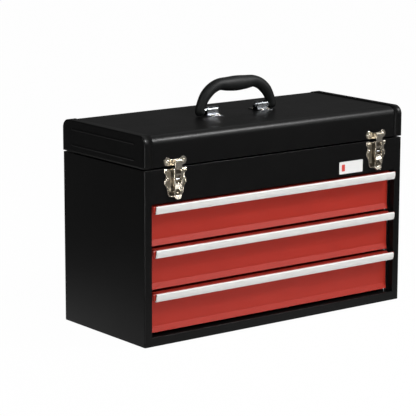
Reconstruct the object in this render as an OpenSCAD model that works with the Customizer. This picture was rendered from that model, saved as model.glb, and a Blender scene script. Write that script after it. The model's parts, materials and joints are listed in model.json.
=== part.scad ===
// Portable tool box with three drawers, a hinged lid and a folding carrying handle.
// Origin: centre of the footprint on the floor. +X to the right, -Y to the front, +Z up. Millimetres.

/* [Cabinet] */
// Width of the cabinet
body_w = 510; // [470:1:620]
// Depth of the cabinet, front sheet to back panel
body_d = 216; // [205:1:260]
// Height of the cabinet up to the lid seam
body_h = 268.5; // [250:0.5:320]
// Thickness of the painted steel sheet
sheet = 1; // [0.8:0.1:1.2]
// Outside bend radius of the upright corners
corner_r = 2.5; // [2:0.5:4]
// Width of the stile beside the drawers
stile = 13.5; // [12:0.5:18]
// Height of the rail under the bottom drawer
bottom_rail = 14; // [12:0.5:18]
// Height of the plain sheet above the drawer opening
header_h = 51.5; // [50:0.5:60]
// Depth of the folded flange round the drawer opening
opening_flange = 13; // [8:0.5:13]
// Width of the folded rim round the top compartment
rim_w = 7; // [5:0.5:10]
// Width of the rear returns that the back panel laps
rear_return = 12; // [10:1:20]
// Height of the upturned edges of the base pan
pan_edge_h = 9; // [6:0.5:11]
// Height of the upturned edges of the compartment floor
floor_edge_h = 8; // [6:0.5:12]

/* [Lid] */
// Open slit between cabinet and lid
lid_gap = 2.5; // [1.5:0.25:4]
// Height of the lid
lid_h = 49; // [44:0.5:70]
// Radius of the long bends of the lid
lid_r = 14; // [10:0.5:18]
// How far the end caps stand out past the cabinet's front and back
lid_proud = 0.5; // [0:0.1:1]
// Width of the end cap's flange over the lid sheet
cap_flange = 15.5; // [12:0.5:20]
// Edge radius of the stamped end caps
cap_edge_r = 2; // [1.5:0.25:3]
// Width of the beads pressed into the end caps
bead_w = 2.6; // [2:0.2:4]
// Length of the beads
bead_len = 166; // [140:1:180]
// Height of the lower bead above the lid's edge
bead_low = 11; // [9:0.5:14]
// Height of the upper bead above the lid's edge
bead_high = 35.5; // [20:0.5:36]
// Inward fold along the lid's lower edges
lid_hem = 5; // [3:0.5:8]

/* [Drawers] */
// Gap between one drawer front and the next
drawer_gap = 5.8; // [4.5:0.1:8]
// Gap under the bottom drawer front
lower_gap = 5.1; // [3:0.1:6]
// Gap over the top drawer front
upper_gap = 4.2; // [3:0.1:6]
// Gap at each end of a drawer front
side_gap = 3.5; // [2:0.1:5]
// How far the drawer panel sits behind the cabinet's front
front_inset = 13; // [11:0.5:16]
// How far the panel's lower edge flares forward
flare_out = 3.5; // [2:0.25:5]
// Height of the flare
flare_h = 9; // [6:0.5:12]
// How far the lip of the top flange stands out of the cabinet's front
lip_out = 3.5; // [2:0.25:5]
// Height of the turned-down lip
lip_h = 9; // [6:0.25:9.5]
// How far the tray's rim stays below the front's upper edge
tray_headroom = 9.7; // [9:0.1:16]
// Height of the tray's floor above the front's lower edge
tray_lift = 3; // [2:0.25:4]
// Thickness of the tray's sheet
tray_t = 0.8; // [0.7:0.1:1]
// Outward fold along the tray's sides
tray_hem = 3; // [2:0.25:4]

/* [Pulls] */
// Height of the aluminium pull strip
pull_h = 12.3; // [11.8:0.1:16]
// Thickness of the pull strip
pull_t = 1.5; // [1.2:0.1:1.6]
// How far the pull's upper edge stands out of the cabinet's front
pull_out = 7; // [6.5:0.1:10]
// How far the pull's lower edge stands out of the cabinet's front
pull_low_out = 5.4; // [5.3:0.1:6]
// Depth of the pull's hook over the flange's front edge
pull_leg = 3.5; // [3:0.5:8]
// Radius of the pull's corners
pull_corner = 2.5; // [1:0.25:4]

/* [Slides] */
// How far a drawer comes out
travel = 130; // [100:1:135]
// Width of a slide between tray and carrier
slide_w = 10; // [10:0.1:11]
// Height of the outer rail
rail_h = 27; // [25:0.5:30]
// Thickness of the rails
rail_t = 1; // [0.9:0.05:1.1]
// Radius of the bearing balls
ball_r = 1.5; // [1.3:0.05:1.6]
// Space from the slides' rear end to the back panel
rear_space = 17; // [12:0.5:24]
// Balls in a row
balls = 6; // [3:1:8]

/* [Latches] */
// Distance of the latches from the cabinet's ends
latch_inset = 56; // [50:1:105]
// Height of the lever's pivot below the cabinet's top edge
pivot_drop = 16.5; // [15:0.5:18]
// Distance of the lever's pivot from the cabinet's front
pivot_out = 5.5; // [5:0.25:7]
// Radius of the lever's pivot pin
pivot_r = 1.2; // [1:0.1:1.5]
// Thickness of the latch plates
latch_t = 1; // [0.8:0.1:1.2]
// Radius of the bail's wire
bail_r = 1.1; // [0.9:0.05:1.2]
// Radius of the padlock eye's hole
eye_r = 3; // [2.5:0.1:3.3]
// Thickness of the padlock eye
eye_t = 2; // [1.5:0.1:2.5]
// Height of the bail's cross bar over the cabinet's top edge
bar_rise = 12.5; // [10:0.5:14]

/* [Hinges] */
// Distance of the hinges from the cabinet's ends
hinge_inset = 90; // [65:1:155]
// Width of a hinge
hinge_w = 50; // [40:1:60]
// Outer radius of the knuckles
knuckle_r = 2.6; // [2.3:0.1:3]
// Radius of the hinge pin
hinge_pin_r = 1.25; // [1:0.05:1.4]
// Thickness of the hinge leaves
leaf_t = 1.2; // [1:0.1:1.4]
// Height of a leaf from the pin
leaf_h = 20; // [18:0.5:24]

/* [Handle] */
// Height of the handle's pivot over the lid sheet
handle_pivot = 8.5; // [8.5:0.25:10]
// Distance of the handle's feet from the centre
foot_x = 71; // [68:0.5:76]
// Radius of the handle's feet and legs
foot_r = 7.9; // [7:0.1:7.9]
// Height of the grip's middle over the pivot
grip_rise = 38; // [34:0.5:44]
// Radius of the handle's steel pins
rod_r = 3.95; // [3.5:0.05:4.2]
// Thickness of the bracket's strap
strap_t = 1.5; // [1.2:0.1:1.8]
// Inner end of the bracket, from the centre
bracket_in = 38.5; // [36:0.5:42]
// Outer end of the bracket, from the centre
bracket_out = 60.5; // [56:0.5:60.5]
// Half the span of the bracket's feet, front to back
bracket_span = 17; // [14:0.5:20]

/* [Clearances] */
// Radial clearance of a pin in a hinge or latch
run_gap = 0.06; // [0.03:0.01:0.08]
// Radial clearance of a fixed rivet or pin in its hole
seat_gap = 0.02; // [0.01:0.01:0.05]
// Gap between knuckles and between stacked latch plates
side_play = 0.2; // [0.15:0.05:0.3]
// Clearance of a bearing ball in its races
race_gap = 0.1; // [0.06:0.01:0.12]

/* [Hidden] */
$fn = 48;
bend_steps = 5;
over = 1;

// Finishes
black_coat = "#2b2b2c";
red_coat = "#a23a30";
satin_aluminium = "#dcdcdc";
nickel = "#c9c6bc";
chrome = "#d9dade";
zinc = "#b9bcc0";
black_plastic = "#3a3d3f";

// Cabinet
drawer_count = 3;
front_y = -body_d / 2;
back_y = body_d / 2;
side_x = body_w / 2;
open_x = side_x - stile;
open_top = body_h - header_h;
drawer_pitch = (open_top - bottom_rail - lower_gap - upper_gap + drawer_gap) / drawer_count;
front_h = drawer_pitch - drawer_gap;
floor_z = open_top + 2 * sheet;
panel_lap = 1.5;
panel_rim_gap = 1;
corner_clear = 0.5;
loose_corner = corner_r + corner_clear;
wall_in_y = back_y - 2 * sheet;

// Slides: u runs inward from the carrier to the tray
carrier_inset = 5.5;
carrier_x = open_x - carrier_inset;
carrier_gap = 1;
carrier_lift = 0.5;
carrier_y0 = front_y + sheet + opening_flange + carrier_gap;
carrier_y1 = wall_in_y - 2 * carrier_gap;
carrier_lip = 10;
carrier_bend = 1;
tray_x = carrier_x - slide_w;
panel_y = front_y + front_inset;
tray_y0 = panel_y + sheet;
rail_setback = 4;
rail_y0 = tray_y0 + rail_setback;
rail_y1 = wall_in_y - rear_space;
rail_len = rail_y1 - rail_y0;
tray_h = front_h - tray_lift - tray_headroom;
tray_overhang = 2.5;
rail_z = tray_lift + tray_h / 2;
tray_y1 = rail_y1 + tray_overhang;
ball_u = slide_w / 2;
race_r = ball_r + race_gap;
ball_z = rail_h / 2 - rail_t - race_r;
race_open = 20;
cage_t = 0.6;
cage_u = rail_t + cage_t;
cage_end_play = 2;
cage_wrap = 1.2;
cage_len = rail_len - travel - cage_end_play;
cage_y = (rail_y0 + rail_y1) / 2;
pocket_end = 4;

// Drawer fronts and pulls
front_x = open_x - side_gap;
front_bend = 1.5;
pull_bend = 0.7;
pull_bow = 0.5;
pull_hook = 2;
pull_inset = 0.5;
pull_x = front_x - pull_inset;
lip_gap = 1;
lip_x = open_x - lip_gap;
function drawer_z(i) = bottom_rail + lower_gap + (drawer_count - i) * drawer_pitch;

// Lid
lid_z0 = body_h + lid_gap;
lid_z1 = lid_z0 + lid_h;
cap_y = body_d / 2 + lid_proud;
lid_y = cap_y - sheet;
lid_top = lid_z1 - sheet;
lid_corner_relief = 0.4;
lid_end = side_x - cap_edge_r - side_play;
bead_lead = 0.35;

// Latches: measured from the lever's pivot
latch_x = side_x - latch_inset;
latch_y = front_y - pivot_out;
latch_z = body_h - pivot_drop;
plate_gap = pivot_out - latch_t;
ear_in = 3.9;
ear_r = 2.7;
cheek_in = ear_in + latch_t + side_play;
cheek_out = cheek_in + latch_t;
cheek_r = 3.4;
boss_r = 2.8;
bail_pivot = [0.3, -8];
bar_y = -2.1;
bail_run = [bar_y - bail_pivot[0], pivot_drop + bar_rise - bail_pivot[1]];
bail_len = norm(bail_run);
bail_tilt = atan(-bail_run[0] / bail_run[1]);
bail_x = cheek_out + side_play + bail_r;
bail_foot_clear = 0.05;
bail_foot_reach = 0.5;
bail_foot_bend = bail_x - cheek_out - bail_foot_clear;
bail_bend = 2.5;
eye_wall = 1.7;
eye_ring = eye_r + eye_wall;
eye_at = [-3.3, -19];
eye_slot_x = 4.5;
eye_slot_z = [-12.5, -25.5];
lever_len = 30;
lever_half = 7.2;
lever_edge = [[cheek_out, -3.5], [cheek_out, -15], [lever_half, -18.5], [lever_half, -24], [5, -lever_len]];
lever_round = [0.5, 3, 3, 5, 4];
// Side view of the lever's web: it steps back below the bail's pivot and tips out at its end
web = 2.9;
dip = 0.6;
web_path = [[-web, -4], [-web, -11.5], [dip, -17], [dip, -24], [-2, -lever_len]];
// Side view of a cheek, from the pivot down to the bail's boss; its front edge lies in the web
cheek_path = [
  [-cheek_r, 0], [-web - latch_t / 2, -4.2], [-web - latch_t / 2, -11.3], [dip - latch_t / 2, -16.6],
  [bail_pivot[0] + boss_r, bail_pivot[1]], [cheek_r, 0]
];
base_rivet_x = 15;
base_outline = [
  [20.5, -1.5], [20.5, -6.5], [17.5, -9], [17, -13.5], [20, -17.5], [20, -23],
  [15.5, -30], [14.5, -38], [11.5, -43], [4, -44]
];
base_round = [0.8, 1, 2, 2, 2.5, 3, 5, 4, 4, 4];

// Keepers
keeper_half = 20.5;
keeper_h = 14.5;
keeper_low = 0.5;
keeper_rivet_x = 14.5;
keeper_rivet_z = 7.5;
tongue_half = 5.7;
tongue_out = 4;
tongue_top = 10;
keeper_corner = 2.5;

// Rivets
rivet_shank = 1.6;
rivet_head = 3.1;
rivet_dome = 1.7;
rivet_tail = 2.6;
rivet_tail_h = 0.9;
hinge_rivet_drop = 13;
hinge_rivet_x = 18;
hole_reach = 30;

// Hinges
hinge_x = side_x - hinge_inset;
hinge_y = back_y + side_play + knuckle_r;
hinge_z = body_h + lid_gap / 2;
knuckles = 5;
knuckle_w = hinge_w / knuckles;
leaf_clear = 0.4;
leaf_corner = 3;
pin_cap_h = 0.8;
pin_cap_r = 2.2;

// Handle
pivot_z = lid_top + handle_pivot;
bracket_clear = 0.05;
bracket_bore = rod_r + bracket_clear;
rod_reach = 5;
rod_end = foot_x + rod_reach;
head_lip = 1.3;
head_r = rod_r + head_lip;
head_h = 2;
head_gap = 0.3;
bracket_rivet_y = bracket_bore + strap_t + (bracket_span - bracket_bore - strap_t) / 2;
bracket_rivet_in = 5;
// Grip sections from the middle outward: x, height over the pivot, half height, half depth
grip_half = [
  [0, grip_rise, 12, 11], [18, grip_rise + 0.2, 11, 10.6], [34, grip_rise + 0.6, 9.4, 9.6],
  [48, grip_rise - 4.5, 9.1, 9], [foot_x - 12.5, grip_rise - 13, 9.1, 8.6],
  [foot_x - 6.5, grip_rise - 21, 8.4, 8.2], [foot_x - 2.6, grip_rise - 29, foot_r, foot_r],
  [foot_x - 0.5, 3, foot_r, foot_r], [foot_x, -0.5, foot_r, foot_r]
];
foot_angles = [20, 38, 54, 68, 80];
foot_round = 0.4;
grip_steps = 4;
grip_sides = 24;

// ---- Plane geometry ----

function unit(v) = v / norm(v);
function turn(a, b) = a[0] * b[1] - a[1] * b[0];
function wrap(a) = a > 180 ? a - 360 : a < -180 ? a + 360 : a;

// Points of the arc that rounds the corner p of a path coming from a and going to b
function fillet(a, p, b, r, n = bend_steps) =
  let (
    u = unit(a - p),
    v = unit(b - p),
    half = acos(max(-1, min(1, u * v))) / 2,
    c = p + unit(u + v) * r / sin(half),
    s = p + u * r / tan(half) - c,
    e = p + v * r / tan(half) - c,
    a0 = atan2(s[1], s[0]),
    sweep = wrap(atan2(e[1], e[0]) - a0)
  )
  r <= 0 ? [p] : [for (i = [0:n]) c + r * [cos(a0 + sweep * i / n), sin(a0 + sweep * i / n)]];

// The same path moved t to its right
function shifted(path, t) = [
  for (i = [0:len(path) - 1])
    let (
      d0 = unit(path[max(i, 1)] - path[max(i, 1) - 1]),
      d1 = unit(path[min(i, len(path) - 2) + 1] - path[min(i, len(path) - 2)]),
      n0 = [d0[1], -d0[0]],
      n1 = [d1[1], -d1[0]]
    )
    path[i] + (n0 + n1) * t / (1 + n0 * n1)
];

// An open path with its bends rounded; left bends take r_left, right bends r_right
function rounded_path(path, r_left, r_right) = [
  for (i = [0:len(path) - 1])
    let (bend = i == 0 || i == len(path) - 1 ? 0 : turn(path[i] - path[i - 1], path[i + 1] - path[i]))
    each bend == 0 ? [path[i]] : fillet(path[i - 1], path[i], path[i + 1], bend > 0 ? r_left : r_right)
];

function reversed(list) = [for (i = [len(list) - 1:-1:0]) list[i]];

// A bent sheet seen on edge: its metal lies to the right of the path, r is the inside bend radius
module bent_sheet(path, t, r) {
  polygon(concat(rounded_path(path, r, r + t), reversed(rounded_path(shifted(path, t), r + t, r))));
}

// A closed outline with a radius at each corner
module rounded_outline(points, radii) {
  n = len(points);
  polygon([
    for (i = [0:n - 1])
      each fillet(points[(i + n - 1) % n], points[i], points[(i + 1) % n], radii[i])
  ]);
}

module rounded_rect(x0, y0, x1, y1, r) {
  translate([x0 + r, y0]) square([x1 - x0 - 2 * r, y1 - y0]);
  translate([x0, y0 + r]) square([x1 - x0, y1 - y0 - 2 * r]);
  for (x = [x0 + r, x1 - r], y = [y0 + r, y1 - r]) translate([x, y]) circle(r);
}

// End view of the lid: upright sides and two round top bends
module lid_arch(half, z0, z1, r) {
  translate([-half, z0]) square([2 * half, z1 - r - z0]);
  translate([-half + r, z0]) square([2 * (half - r), z1 - z0]);
  for (s = [-1, 1]) translate([s * (half - r), z1 - r]) circle(r);
}

// ---- Placing ----

// Extrudes an end view (y, z) along X
module along_x(x0, x1) {
  translate([x0, 0, 0]) rotate([90, 0, 90]) linear_extrude(x1 - x0) children();
}

// Extrudes a front view (x, z) along Y
module along_y(y0, y1) {
  translate([0, y1, 0]) rotate([90, 0, 0]) linear_extrude(y1 - y0) children();
}

module rod_x(x0, x1, y, z, r) {
  translate([x0, y, z]) rotate([0, 90, 0]) cylinder(h = x1 - x0, r = r);
}

module rod_y(y0, y1, x, z, r) {
  translate([x, y0, z]) rotate([-90, 0, 0]) cylinder(h = y1 - y0, r = r);
}

// Low spherical cap on z = 0
module dome(r, h) {
  ball = (r * r + h * h) / (2 * h);
  intersection() {
    translate([0, 0, h - ball]) sphere(ball, $fn = 64);
    cylinder(h = h, r = r + over);
  }
}

// Rivet with its head on z = 0 and its tail below a stack of the given thickness
module rivet(stack) {
  dome(rivet_head, rivet_dome);
  translate([0, 0, -stack - rivet_tail_h / 2]) cylinder(h = stack + rivet_tail_h / 2, r = rivet_shank);
  translate([0, 0, -stack - rivet_tail_h]) cylinder(h = rivet_tail_h, r = rivet_tail);
}

module to_front(x, y, z) {
  translate([x, y, z]) rotate([90, 0, 0]) children();
}

module to_back(x, y, z) {
  translate([x, y, z]) rotate([-90, 0, 0]) children();
}

// ---- Cabinet ----

module shell_plan(inset) {
  rounded_rect(-side_x + inset, front_y + inset, side_x - inset, back_y - sheet - inset, corner_r - inset);
}

module body_shell() color(black_coat) {
  back_gap = side_x - rear_return;
  difference() {
    linear_extrude(body_h) difference() {
      shell_plan(0);
      shell_plan(sheet);
      translate([-back_gap, 0]) square([2 * back_gap, body_d]);
    }
    translate([-open_x, front_y - over, bottom_rail])
      cube([2 * open_x, corner_r + over, open_top - bottom_rail]);
    latch_rivet_holes();
  }
  // Flange folded in round the drawer opening
  along_y(front_y + sheet / 2, front_y + sheet + opening_flange) difference() {
    translate([-open_x - sheet, bottom_rail - sheet])
      square([2 * (open_x + sheet), open_top - bottom_rail + 2 * sheet]);
    translate([-open_x, bottom_rail]) square([2 * open_x, open_top - bottom_rail]);
  }
  // Rim round the top compartment
  translate([0, 0, body_h - sheet]) linear_extrude(sheet) difference() {
    shell_plan(0);
    translate([-side_x + sheet + rim_w, front_y + sheet + rim_w])
      square([2 * (side_x - sheet - rim_w), body_d - 3 * sheet - 2 * rim_w]);
    translate([-back_gap, 0]) square([2 * back_gap, body_d]);
  }
}

module back_panel() color(black_coat) {
  panel_x = side_x - panel_lap;
  rim_x = side_x - rear_return - panel_rim_gap;
  difference() {
    translate([-panel_x, back_y - sheet, 0]) cube([2 * panel_x, sheet, body_h]);
    hinge_rivet_holes(-1);
  }
  translate([-rim_x, back_y - sheet - rim_w, body_h - sheet]) cube([2 * rim_x, rim_w + sheet / 2, sheet]);
}

// Flat sheet that fills the cabinet, with its edges turned up
module edged_floor(edge) {
  x = side_x - sheet;
  difference() {
    linear_extrude(edge) rounded_rect(-x, front_y + sheet, x, wall_in_y, loose_corner);
    translate([0, 0, sheet]) linear_extrude(edge)
      rounded_rect(-x + sheet, front_y + 2 * sheet, x - sheet, wall_in_y - sheet, loose_corner - sheet);
  }
}

module base_pan() color(black_coat) edged_floor(pan_edge_h);

module compartment_floor() color(black_coat) translate([0, 0, floor_z]) edged_floor(floor_edge_h);

module carrier() {
  wall = side_x - sheet;
  z0 = pan_edge_h + carrier_lift;
  color(zinc) translate([0, 0, z0]) linear_extrude(floor_z - z0) bent_sheet([
    [wall, carrier_y1 - carrier_lip], [wall, carrier_y1], [carrier_x, carrier_y1],
    [carrier_x, carrier_y0], [wall, carrier_y0], [wall, carrier_y0 + carrier_lip]
  ], -sheet, carrier_bend);
}

module right_carrier() carrier();

module left_carrier() mirror([1, 0, 0]) carrier();

// ---- Slides ----

// Part of a ring round the ball, between two angles
module race(a0, a1) {
  reach = 2 * (race_r + rail_t);
  intersection() {
    difference() {
      circle(race_r + rail_t);
      circle(race_r);
    }
    polygon(concat([[0, 0]], [for (i = [0:4]) reach * [cos(a0 + (a1 - a0) * i / 4), sin(a0 + (a1 - a0) * i / 4)]]));
  }
}

module outer_rail_profile() {
  translate([0, -rail_h / 2]) square([rail_t, rail_h]);
  for (s = [0, 1]) mirror([0, s]) {
    translate([0, rail_h / 2 - rail_t]) square([ball_u, rail_t]);
    translate([ball_u, ball_z]) race(race_open, 180 - race_open);
  }
}

module inner_rail_profile() {
  arm_z = ball_z - race_r - rail_t;
  translate([slide_w - rail_t, -arm_z - rail_t]) square([rail_t, 2 * (arm_z + rail_t)]);
  for (s = [0, 1]) mirror([0, s]) {
    translate([ball_u, arm_z]) square([slide_w - ball_u, rail_t]);
    translate([ball_u, ball_z]) race(180 + race_open, 360 - race_open);
  }
}

// Carries a slide's profile (u, z) to its place on the right side
module on_slide(i, y0, y1) {
  translate([carrier_x, 0, drawer_z(i) + rail_z]) mirror([1, 0, 0]) along_y(y0, y1) children();
}

module outer_rail(i) color(zinc) on_slide(i, rail_y0, rail_y1) outer_rail_profile();

module inner_rail(i) color(zinc) on_slide(i, rail_y0, rail_y1) inner_rail_profile();

module ball_places(i) {
  step = (cage_len - 2 * pocket_end) / (balls - 1);
  for (k = [0:balls - 1], s = [-1, 1])
    translate([
      carrier_x - ball_u, cage_y - cage_len / 2 + pocket_end + k * step, drawer_z(i) + rail_z + s * ball_z
    ]) children();
}

module cage(i) {
  reach = ball_u + cage_wrap;
  edge_z = ball_z + cage_t / 2;
  color(zinc) difference() {
    on_slide(i, cage_y - cage_len / 2, cage_y + cage_len / 2) {
      translate([cage_u, -edge_z]) square([cage_t, 2 * edge_z]);
      for (s = [-1, 1]) translate([cage_u, s * ball_z - cage_t / 2]) square([reach - cage_u, cage_t]);
    }
    ball_places(i) cylinder(h = 2 * cage_t, r = ball_r + run_gap, center = true);
  }
  color(chrome) ball_places(i) sphere(ball_r);
}

// ---- Drawers ----

module tray(i) color(red_coat) {
  z0 = drawer_z(i) + tray_lift;
  r = loose_corner;
  difference() {
    translate([0, 0, z0]) linear_extrude(tray_h) rounded_rect(-tray_x, tray_y0, tray_x, tray_y1, r);
    translate([0, 0, z0 + tray_t]) linear_extrude(tray_h)
      rounded_rect(-tray_x + tray_t, tray_y0 + tray_t, tray_x - tray_t, tray_y1 - tray_t, r - tray_t);
  }
  for (s = [0, 1]) mirror([s, 0, 0]) translate([0, tray_y0 + r, z0 + tray_h]) {
    translate([tray_x - tray_t / 2, 0, -tray_t]) cube([tray_hem + tray_t / 2, tray_y1 - tray_y0 - 2 * r, tray_t]);
    translate([tray_x + tray_hem - tray_t, 0, -tray_hem])
      cube([tray_t, tray_y1 - tray_y0 - 2 * r, tray_hem]);
  }
}

module drawer_front(i) color(red_coat) {
  z0 = drawer_z(i);
  lip_y = front_y - lip_out + sheet;
  top = z0 + front_h - sheet;
  lip_low = z0 + front_h - lip_h;
  along_x(-front_x, front_x) bent_sheet([
    [panel_y - flare_out, z0], [panel_y, z0 + flare_h], [panel_y, top], [lip_y, top], [lip_y, lip_low]
  ], sheet, front_bend);
  // The top flange and its lip reach further to the sides than the panel
  along_x(-lip_x, lip_x)
    bent_sheet([[panel_y - sheet - front_bend, top], [lip_y, top], [lip_y, lip_low]], sheet, front_bend);
}

module pull(i) color(satin_aluminium) {
  top = drawer_z(i) + front_h;
  low = top + 2 * pull_t - pull_h;
  y_top = front_y - pull_out + pull_t;
  y_low = front_y - pull_low_out + pull_t;
  intersection() {
    along_x(-pull_x, pull_x) bent_sheet([
      [y_top + pull_leg, top], [y_top, top], [(y_top + y_low) / 2 - pull_bow, (top + low) / 2],
      [y_low, low], [y_low + pull_hook, low]
    ], pull_t, pull_bend);
    along_y(front_y - 2 * pull_out, panel_y)
      rounded_rect(-pull_x, top + pull_t - pull_h, pull_x, top + pull_t, pull_corner);
  }
}

// ---- Lid ----

module lid_shell() color(black_coat) {
  r = lid_r - sheet + lid_corner_relief;
  difference() {
    union() {
      along_x(-lid_end, lid_end) difference() {
        lid_arch(lid_y, lid_z0, lid_top, r);
        lid_arch(lid_y - sheet, lid_z0 - over, lid_top - sheet, r - sheet);
      }
      for (s = [-1, 1]) along_x(-lid_end, lid_end)
        translate([s * (lid_y - (lid_hem + sheet) / 2) - (lid_hem + sheet) / 2, lid_z0])
          square([lid_hem + sheet, sheet]);
    }
    keeper_rivet_holes();
    hinge_rivet_holes(1);
    bracket_rivet_holes();
  }
}

// Solid end of the lid with its outer edge rounded
module end_block(half, z0, z1, r, x0, x1, edge) {
  along_x(x0, x1 - edge) lid_arch(half, z0, z1, r);
  along_x(x1 - edge - over, x1) lid_arch(half - edge, z0, z1 - edge, r - edge);
  for (s = [-1, 1]) {
    translate([x1 - edge, s * (half - edge), z0]) cylinder(h = z1 - r - z0, r = edge);
    translate([x1 - edge, s * (half - r), z1 - r]) rotate([90, 0, 90])
      rotate([0, 0, s > 0 ? 0 : 90]) rotate_extrude(angle = 90) translate([r - edge, 0]) circle(edge);
  }
  rod_y(-(half - r), half - r, x1 - edge, z1 - edge, edge);
}

module end_cap() color(black_coat) {
  x0 = side_x - cap_flange;
  half_bead = bead_len / 2 - bead_w / 2;
  difference() {
    end_block(cap_y, lid_z0, lid_z1, lid_r, x0, side_x, cap_edge_r);
    end_block(lid_y, lid_z0 - over, lid_top, lid_r - sheet, x0 - over, side_x - sheet, cap_edge_r - sheet);
  }
  for (z = [bead_low, bead_high]) translate([side_x - bead_lead, 0, lid_z0 + z]) {
    rod_y(-half_bead, half_bead, 0, 0, bead_w / 2);
    for (s = [-1, 1]) translate([0, s * half_bead, 0]) sphere(bead_w / 2);
  }
}

module right_end_cap() end_cap();

module left_end_cap() mirror([1, 0, 0]) end_cap();

module keeper(x) color(nickel) {
  y0 = -lid_y - latch_t;
  z0 = lid_z0 + keeper_low;
  hook_y = y0 - tongue_out;
  difference() {
    along_y(y0, -lid_y) translate([x, z0]) rounded_rect(-keeper_half, 0, keeper_half, keeper_h, keeper_corner);
    keeper_rivet_holes();
  }
  along_x(x - tongue_half, x + tongue_half) bent_sheet([
    [hook_y, lid_z0 + tongue_top], [hook_y, z0 + 2 * latch_t], [y0 + latch_t / 2, z0 + 2 * latch_t]
  ], latch_t, latch_t);
}

// ---- Hinges ----

module knuckle_set(first, r) {
  for (k = [first:2:knuckles - 1])
    rod_x(-hinge_w / 2 + k * knuckle_w + side_play / 2, -hinge_w / 2 + (k + 1) * knuckle_w - side_play / 2,
      hinge_y, hinge_z, r);
}

module hinge_leaf(face_y, first, side) {
  edge = knuckle_r + leaf_clear;
  along_y(face_y, face_y + leaf_t) translate([0, hinge_z]) mirror([0, side > 0 ? 0 : 1]) {
    rounded_rect(-hinge_w / 2, edge, hinge_w / 2, leaf_h, leaf_corner);
    translate([-hinge_w / 2, edge]) square([hinge_w, leaf_corner]);
    for (k = [first:2:knuckles - 1])
      translate([-hinge_w / 2 + k * knuckle_w + side_play / 2, 0])
        square([knuckle_w - side_play, edge + leaf_corner]);
  }
  knuckle_set(first, knuckle_r);
}

module hinge_body_leaf(x) color(nickel) difference() {
  translate([x, 0, 0]) hinge_leaf(back_y, 0, -1);
  rod_x(x - hinge_w, x + hinge_w, hinge_y, hinge_z, hinge_pin_r + seat_gap);
  hinge_rivet_holes(-1);
}

module hinge_lid_leaf(x) color(nickel) difference() {
  translate([x, 0, 0]) hinge_leaf(lid_y, 1, 1);
  rod_x(x - hinge_w, x + hinge_w, hinge_y, hinge_z, hinge_pin_r + run_gap);
  hinge_rivet_holes(1);
}

module hinge_pins() color(zinc) for (x = [-hinge_x, hinge_x]) {
  rod_x(x - hinge_w / 2, x + hinge_w / 2, hinge_y, hinge_z, hinge_pin_r);
  for (s = [-1, 1]) translate([x + s * (hinge_w / 2 - side_play / 2 + pin_cap_h / 2), hinge_y, hinge_z])
    rotate([0, 90, 0]) cylinder(h = pin_cap_h, r = pin_cap_r, center = true);
}

// ---- Latches ----

module latch_base(x) color(nickel) difference() {
  union() {
    along_y(front_y - latch_t, front_y) translate([x, body_h]) rounded_outline(
      concat(base_outline, [for (p = reversed(base_outline)) [-p[0], p[1]]]),
      concat(base_round, reversed(base_round)));
    translate([x, latch_y, latch_z]) {
      for (s = [-1, 1]) along_x(s * (ear_in + latch_t / 2) - latch_t / 2, s * (ear_in + latch_t / 2) + latch_t / 2) {
        circle(ear_r);
        translate([0, -ear_r]) square([plate_gap + latch_t / 2, 2 * ear_r]);
      }
      along_x(-eye_t / 2, eye_t / 2) translate(eye_at) {
        circle(eye_ring);
        translate([0, -eye_ring]) square([plate_gap + latch_t / 2 - eye_at[0], 2 * eye_ring]);
      }
    }
  }
  translate([x, latch_y, latch_z]) {
    rod_x(-cheek_out, cheek_out, 0, 0, pivot_r + seat_gap);
    rod_x(-eye_t, eye_t, eye_at[0], eye_at[1], eye_r);
  }
  latch_rivet_holes();
}

module latch_pins() color(zinc) for (x = [-latch_x, latch_x])
  rod_x(x - cheek_out, x + cheek_out, latch_y, latch_z, pivot_r);

module lever_outline() rounded_outline(
  concat(lever_edge, [for (p = reversed(lever_edge)) [-p[0], p[1]]]), concat(lever_round, reversed(lever_round)));

module latch_lever(x) color(nickel) translate([x, latch_y, latch_z]) {
  difference() {
    union() {
      intersection() {
        along_x(-lever_half, lever_half) bent_sheet(web_path, latch_t, latch_t);
        along_y(-2 * web, 2 * web) lever_outline();
      }
      for (s = [-1, 1]) along_x(s * (cheek_in + latch_t / 2) - latch_t / 2, s * (cheek_in + latch_t / 2) + latch_t / 2) {
        circle(cheek_r);
        translate(bail_pivot) circle(boss_r);
        polygon(cheek_path);
      }
    }
    rod_x(-lever_half, lever_half, 0, 0, pivot_r + run_gap);
    rod_x(-lever_half, lever_half, bail_pivot[0], bail_pivot[1], bail_r + run_gap);
    along_y(-3 * web, 3 * web) {
      for (z = [eye_slot_z[0] - eye_slot_x, eye_slot_z[1] + eye_slot_x]) translate([0, z]) circle(eye_slot_x);
      translate([-eye_slot_x, eye_slot_z[1] + eye_slot_x])
        square([2 * eye_slot_x, eye_slot_z[0] - eye_slot_z[1] - 2 * eye_slot_x]);
    }
  }
}

// Quarter bend of the bail's wire round (x, z), starting at angle a
module wire_bend(x, z, radius, a) {
  translate([x, 0, z]) rotate([90, 0, 0]) rotate([0, 0, a])
    rotate_extrude(angle = 90) translate([radius, 0]) circle(bail_r);
}

module latch_bail(x) color(nickel)
  translate([x, latch_y + bail_pivot[0], latch_z + bail_pivot[1]]) rotate([bail_tilt, 0, 0]) {
    for (s = [0, 1]) mirror([s, 0, 0]) {
      translate([bail_x, 0, bail_foot_bend]) cylinder(h = bail_len - bail_foot_bend - bail_bend, r = bail_r);
      wire_bend(bail_x - bail_bend, bail_len - bail_bend, bail_bend, 0);
      wire_bend(bail_x - bail_foot_bend, bail_foot_bend, bail_foot_bend, -90);
      rod_x(cheek_in - bail_foot_reach, bail_x - bail_foot_bend, 0, 0, bail_r);
    }
    rod_x(-(bail_x - bail_bend), bail_x - bail_bend, 0, bail_len, bail_r);
  }

// ---- Handle ----

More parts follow.
